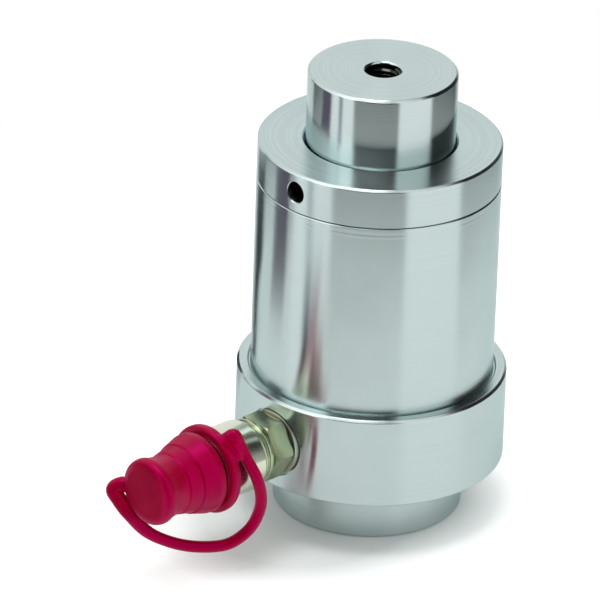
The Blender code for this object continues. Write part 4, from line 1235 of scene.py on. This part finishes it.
class CYLINDER_OT_cap(Operator):
    """Mould the dust cap, its tether ring and the strap between them."""

    bl_idname = "cylinder.cap"
    bl_label = "Dust cap and strap"

    def execute(self, context):
        outline = [
            (0, CAP_END),
            (0.0102, CAP_END, 0.0012),
            (0.01215, 0.1126, 0.0006),
            (0.0128, 0.1109, 0.0010),
            (0.0126, 0.1095, 0.0008),
            (0.0117, 0.1069, 0.0012),
            (0.0113, 0.1029, 0.0012),
            (0.0114, 0.1013, 0.0003),
            (0.01185, 0.1009, 0.0002),
            (0.0120, 0.1000, 0.0006),
            (0.0127, 0.0966, 0.0004),
            (0.0127, 0.0959, 0.0002),
            (0.0134, 0.0954, 0.0002),
            (0.0137, 0.0943, 0.0005),
            (0.0152, 0.0892, 0.0008),
            (0.0152, 0.0869, 0.0003),
            (0.0147, CAP_MOUTH, 0.0002),
            (0.0133, CAP_MOUTH, 0.0002),
            (0.0133, 0.0918),
            (0.0115, 0.0946),
            (0.0115, 0.0978),
            (0.0096, 0.0997),
            (0.0096, CAP_CAVITY_END),
            (0, CAP_CAVITY_END),
        ]
        cap = turned("cap_shell", outline, coupling=True)
        dress(smooth(cap, 40), "red_plastic", "cap", "dust_cap")

        radius = context.scene.cylinder_sizes.strap_radius
        route = smooth_route()
        furthest = reach("tether_strap", 0, 0) + radius * STRAP_END_SWELL
        for point in route:
            point.x = max(point.x, furthest)
        inner = RING_SEAT_RADIUS + GAP
        ring_points = [
            (RING_RADIUS, RING_OUT, RING_EDGE),
            (RING_RADIUS, RING_IN, RING_EDGE),
            (inner, RING_IN, 0.0003),
            (inner, RING_OUT, 0.0003),
        ]
        band = turned("ring_band", ring_points, closed=True, coupling=True, steps=128)
        root_count = len(route) // 5
        root_radii = [radius * (1.09 - 0.15 * (index / root_count)**2) for index in range(root_count)]
        root = swept("ring_root", route[:root_count], root_radii)
        web_path = [outward(CAP_MOUTH + out, across, up) for out, across, up in (
            (-0.0040, -0.0060, 0.0147),
            (-0.0050, -0.0086, 0.0149),
            (-0.0060, -0.0112, 0.0132),
            (-0.0066, -0.0131, 0.0108),
            (-0.0070, -0.0145, 0.0082),
        )]
        web = swept("ring_web", web_path, [0.0016, 0.0021, 0.0023, 0.0019, 0.0010])
        ring = skinned("strap_ring", (band, root, web), 0.00035, 24)
        dress(ring, "red_plastic", "tether", "tether_ring")

        radii = []
        for index in range(len(route)):
            share = index / (len(route) - 1)
            swell = min(1.0, max(0.0, (share - 0.6) / 0.15))
            radii.append(radius * (1 + (STRAP_END_SWELL - 1) * swell**2 * (3 - 2 * swell)))
        strap_start = len(route) // 12
        strap = swept("strap_loop", route[strap_start:], radii[strap_start:])
        strap.data.shade_smooth()
        dress(strap, "red_plastic", None, "tether_strap")
        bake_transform(strap)
        return {"FINISHED"}


# Stage


def set_stops(ramp, stops):
    """Colour stops by bearing, in degrees to the right of the camera."""
    places = [((bearing + 180) / 360, colour) for bearing, colour in stops]
    elements = ramp.color_ramp.elements
    elements[0].position = places[0][0]
    elements[1].position = places[-1][0]
    for place, colour in places[1:-1]:
        elements.new(place)
    for element, (place, colour) in zip(elements, places):
        shade = colour if isinstance(colour, tuple) else (colour, colour, colour)
        element.color = (*shade, 1.0)


# What the metal mirrors, by bearing: near the floor, above it, and overhead
LOW_ROOM = (
    (-180, 0.88), (-150, 0.88), (-131, 0.8), (-129, 0.03), (-104, 0.08), (-98, (0.12, 0.06, 0.12)),
    (-84, (0.16, 0.08, 0.15)), (-80, 1.0), (-69, 1.0), (-67, (0.08, 0.10, 0.16)), (-63, (0.08, 0.10, 0.16)),
    (-60, 1.0), (-45, 1.0), (-40, 0.04), (24, 0.04), (29, 1.0), (79, 1.0), (84, 0.04), (145, 0.04),
    (155, 0.6), (180, 0.8),
)
HIGH_ROOM = (
    (-180, 0.88), (-110, 0.95), (-85, 1.3), (-60, 1.9), (-45, 1.7), (-40, 0.003), (24, 0.003), (29, 1.0), (79, 1.0), (84, 0.01),
    (145, 0.01), (155, 0.88), (180, 0.88),
)
OVERHEAD = (
    (-180, 0.8), (-100, 0.9), (-70, 0.95), (60, 0.95), (85, 0.05), (150, 0.05), (165, 0.8), (180, 0.8),
)

# Cards that only the metal mirrors: bearing, width, bottom, top, and colour
CARDS = (
    ("card_edge", -131, 0.030, 0.0, 0.045, (0.03, 0.04, 0.05)),
    ("card_corner", -127, 0.050, 0.045, 0.095, (0.03, 0.04, 0.05)),
    ("card_wide", -88, 0.041, 0.045, 0.165, (0.16, 0.13, 0.18)),
    ("card_blue", -55.5, 0.0135, 0.0, 0.062, (0.015, 0.02, 0.05)),
    ("card_magenta", -48.5, 0.016, 0.0, 0.058, (0.24, 0.04, 0.18)),
)
CARD_DISTANCE = 0.13


class CYLINDER_OT_stage(Operator):
    """Set the camera, the floor, the lamps and the pale studio."""

    bl_idname = "cylinder.stage"
    bl_label = "Stage"

    def execute(self, context):
        self.set_camera(context.scene)
        self.lay_floor(context.scene)
        self.stand_cards(context.scene)
        self.hang_lamps(context.scene)
        self.paint_world(context.scene)
        context.scene.view_settings.view_transform = "Standard"
        return {"FINISHED"}

    def set_camera(self, scene):
        data = bpy.data.cameras.new("camera")
        data.lens = CAMERA_LENS
        data.sensor_width = 36
        data.clip_end = 50
        camera = bpy.data.objects.new("camera", data)
        scene.collection.objects.link(camera)
        bearing = Matrix.Rotation(radians(CAMERA_AZIMUTH), 4, "Z")
        dip = Matrix.Rotation(radians(90 - CAMERA_ELEVATION), 4, "X")
        aim = Matrix.Rotation(radians(CAMERA_PAN), 4, "Y") @ Matrix.Rotation(radians(-CAMERA_TILT), 4, "X")
        stand = Matrix.Translation((0, 0, LOOK_HEIGHT)) @ bearing @ dip
        back = Matrix.Translation((0, 0, CAMERA_DISTANCE))
        camera.matrix_world = stand @ back @ aim @ Matrix.Rotation(radians(CAMERA_ROLL), 4, "Z")
        scene.camera = camera

    def lay_floor(self, scene):
        settings = scene.cylinder_stage
        drawing = bmesh.new()
        bmesh.ops.create_circle(drawing, cap_ends=True, segments=128, radius=settings.floor_radius)
        mesh = bpy.data.meshes.new("floor")
        drawing.to_mesh(mesh)
        drawing.free()
        floor = bpy.data.objects.new("floor", mesh)
        scene.collection.objects.link(floor)
        material, tree, shader = new_finish("floor")
        tree.nodes.remove(shader)
        paths = add(tree, "LightPath").outputs
        mirrored = maths(tree, "MAXIMUM", paths["Is Glossy Ray"], paths["Is Transmission Ray"])
        seen = maths(tree, "MAXIMUM", paths["Is Camera Ray"], mirrored)
        paint = add(tree, "BsdfDiffuse", {"Color": (*settings.floor, 1.0)}).outputs[0]
        # Painted shadow: the floor's emission lift is nil within 34 mm of the line x = -36..0 mm and rises to 0.42
        # by 58 mm. The dark patch round the foot and under the coupling is therefore partly real shadow and partly
        # painted. Mirrored rays get a fifth of the lift.
        parts = add(tree, "SeparateXYZ", {"Vector": add(tree, "TexCoord").outputs["Object"]}).outputs
        along = maths(tree, "ABSOLUTE", maths(tree, "ADD", parts["X"], 0.018))
        along = maths(tree, "MAXIMUM", maths(tree, "SUBTRACT", along, 0.018), 0.0)
        away = add(tree, "CombineXYZ", {"X": along, "Y": parts["Y"]}).outputs["Vector"]
        away = add(tree, "VectorMath", {0: away}, operation="LENGTH").outputs["Value"]
        lift_past_painted_shadow = remap(tree, away, 0.034, 0.058, 0.0, 0.42)
        lift_past_painted_shadow = maths(tree, "MULTIPLY", lift_past_painted_shadow, remap(tree, mirrored, 0.0, 1.0, 1.0, 0.2))
        lift = add(tree, "Emission", {"Color": (0.97, 1.0, 0.99, 1.0), "Strength": lift_past_painted_shadow}).outputs[0]
        lifted = add(tree, "AddShader", {0: paint, 1: lift}).outputs[0]
        mixed = add(tree, "MixShader", {0: seen, 1: paint, 2: lifted}).outputs[0]
        tree.links.new(mixed, tree.nodes["Material Output"].inputs["Surface"])
        mesh.materials.append(material)

    def stand_cards(self, scene):
        upright = Matrix.Rotation(pi / 2, 4, "X")
        for name, bearing, width, bottom, top, colour in CARDS:
            turn = Matrix.Rotation(radians(CAMERA_AZIMUTH + bearing), 4, "Z")
            place = Matrix.Translation((0, -CARD_DISTANCE, (bottom + top) / 2))
            size = Matrix.Diagonal((width, top - bottom, 1, 1))
            drawing = bmesh.new()
            bmesh.ops.create_grid(
                drawing, x_segments=1, y_segments=1, size=0.5, matrix=turn @ place @ upright @ size
            )
            mesh = bpy.data.meshes.new(name)
            drawing.to_mesh(mesh)
            drawing.free()
            card = bpy.data.objects.new(name, mesh)
            scene.collection.objects.link(card)
            material, tree, shader = new_finish(name)
            shader.inputs["Base Color"].default_value = (*colour, 1.0)
            shader.inputs["Roughness"].default_value = 0.9
            mesh.materials.append(material)
            card.visible_camera = False
            card.visible_diffuse = False
            card.visible_shadow = False
            card.visible_transmission = False

    def hang_lamps(self, scene):
        settings = scene.cylinder_stage
        lamps = (
            ("key", settings.key, 0.8, (-0.22, 0.05, 1.75), True),
            ("fill", settings.fill, 1.4, (0.6, -1.3, 1.3), False),
        )
        for name, power, size, place, mirrored in lamps:
            data = bpy.data.lights.new(name, "AREA")
            data.energy = power
            data.shape = "DISK"
            data.size = size
            lamp = bpy.data.objects.new(name, data)
            scene.collection.objects.link(lamp)
            lamp.location = place
            aim = Vector(place) - Vector((0, 0, LOOK_HEIGHT))
            lamp.rotation_euler = aim.to_track_quat("Z", "Y").to_euler()
            lamp.visible_glossy = mirrored

    def paint_world(self, scene):
        world = bpy.data.worlds.new("studio")
        scene.world = world
        world.use_nodes = True
        tree = world.node_tree
        tree.nodes.clear()
        direction = add(tree, "TexCoord").outputs["Generated"]
        facing = {"Vector": direction, "Rotation": (0.0, 0.0, radians(-CAMERA_AZIMUTH))}
        turned_room = add(tree, "Mapping", facing, vector_type="POINT").outputs["Vector"]
        parts = add(tree, "SeparateXYZ", {"Vector": turned_room}).outputs
        towards = maths(tree, "MULTIPLY", parts["Y"], -1.0)
        bearing = maths(tree, "ARCTAN2", parts["X"], towards)
        share = maths(tree, "MULTIPLY_ADD", bearing, 1 / (2 * pi), 0.5)
        rooms = []
        for stops in (LOW_ROOM, HIGH_ROOM, OVERHEAD):
            ramp = add(tree, "ValToRGB", {"Fac": share})
            set_stops(ramp, stops)
            rooms.append(ramp.outputs["Color"])
        over = remap(tree, parts["Z"], sin(radians(52)), sin(radians(64)), 0.0, 1.0)
        rise = remap(tree, parts["Z"], sin(radians(12)), sin(radians(22)), 0.0, 1.0)
        wall = self.blend_colours(tree, rise, rooms[0], rooms[1])
        room = self.blend_colours(tree, over, wall, rooms[2])
        paths = add(tree, "LightPath").outputs
        mirrored = maths(tree, "MAXIMUM", paths["Is Glossy Ray"], paths["Is Transmission Ray"])
        even = add(tree, "Background", {"Color": (1, 1, 1, 1), "Strength": scene.cylinder_stage.sky}).outputs[0]
        studio = add(tree, "Background", {"Color": room, "Strength": 1.1}).outputs[0]
        white = add(tree, "Background", {"Color": (1, 1, 1, 1), "Strength": 1.0}).outputs[0]
        lit = add(tree, "MixShader", {0: mirrored, 1: even, 2: studio}).outputs[0]
        seen = add(tree, "MixShader", {0: paths["Is Camera Ray"], 1: lit, 2: white}).outputs[0]
        output = add(tree, "OutputWorld", {"Surface": seen})
        output.is_active_output = True

    def blend_colours(self, tree, factor, first, second):
        node = tree.nodes.new("ShaderNodeMix")
        node.data_type = "RGBA"
        tree.links.new(factor, node.inputs[0])
        tree.links.new(first, node.inputs[6])
        tree.links.new(second, node.inputs[7])
        return node.outputs[2]


STEPS = (
    CYLINDER_OT_stage,
    CYLINDER_OT_body,
    CYLINDER_OT_gland,
    CYLINDER_OT_ram,
    CYLINDER_OT_piston,
    CYLINDER_OT_return_spring,
    CYLINDER_OT_coupling,
    CYLINDER_OT_poppet,
    CYLINDER_OT_cap,
)


class CYLINDER_PT_panel(Panel):
    """Sizes, colours and steps of the cylinder."""

    bl_idname = "CYLINDER_PT_panel"
    bl_label = "Hydraulic cylinder"
    bl_space_type = "VIEW_3D"
    bl_region_type = "UI"
    bl_category = "Cylinder"

    def draw(self, context):
        layout = self.layout
        for group in (
            context.scene.cylinder_sizes,
            context.scene.cylinder_colours,
            context.scene.cylinder_stage,
        ):
            box = layout.box()
            for name in group.__annotations__:
                box.prop(group, name)
        for step in STEPS:
            layout.operator(step.bl_idname)


GROUPS = {
    "cylinder_sizes": CylinderSizes,
    "cylinder_colours": CylinderColours,
    "cylinder_stage": CylinderStage,
}


def register():
    for group in GROUPS.values():
        bpy.utils.register_class(group)
    for step in STEPS:
        bpy.utils.register_class(step)
    bpy.utils.register_class(CYLINDER_PT_panel)
    for name, group in GROUPS.items():
        setattr(bpy.types.Scene, name, PointerProperty(type=group))


def unregister():
    for name in GROUPS:
        delattr(bpy.types.Scene, name)
    bpy.utils.unregister_class(CYLINDER_PT_panel)
    for step in reversed(STEPS):
        bpy.utils.unregister_class(step)
    for group in reversed(list(GROUPS.values())):
        bpy.utils.unregister_class(group)


def main():
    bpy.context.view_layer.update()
    register()
    bpy.ops.cylinder.stage()
    bpy.ops.cylinder.body()
    bpy.ops.cylinder.gland()
    bpy.ops.cylinder.ram()
    bpy.ops.cylinder.piston()
    bpy.ops.cylinder.return_spring()
    bpy.ops.cylinder.coupling()
    bpy.ops.cylinder.poppet()
    bpy.ops.cylinder.cap()
    bpy.context.view_layer.update()


if __name__ == "__main__":
    main()
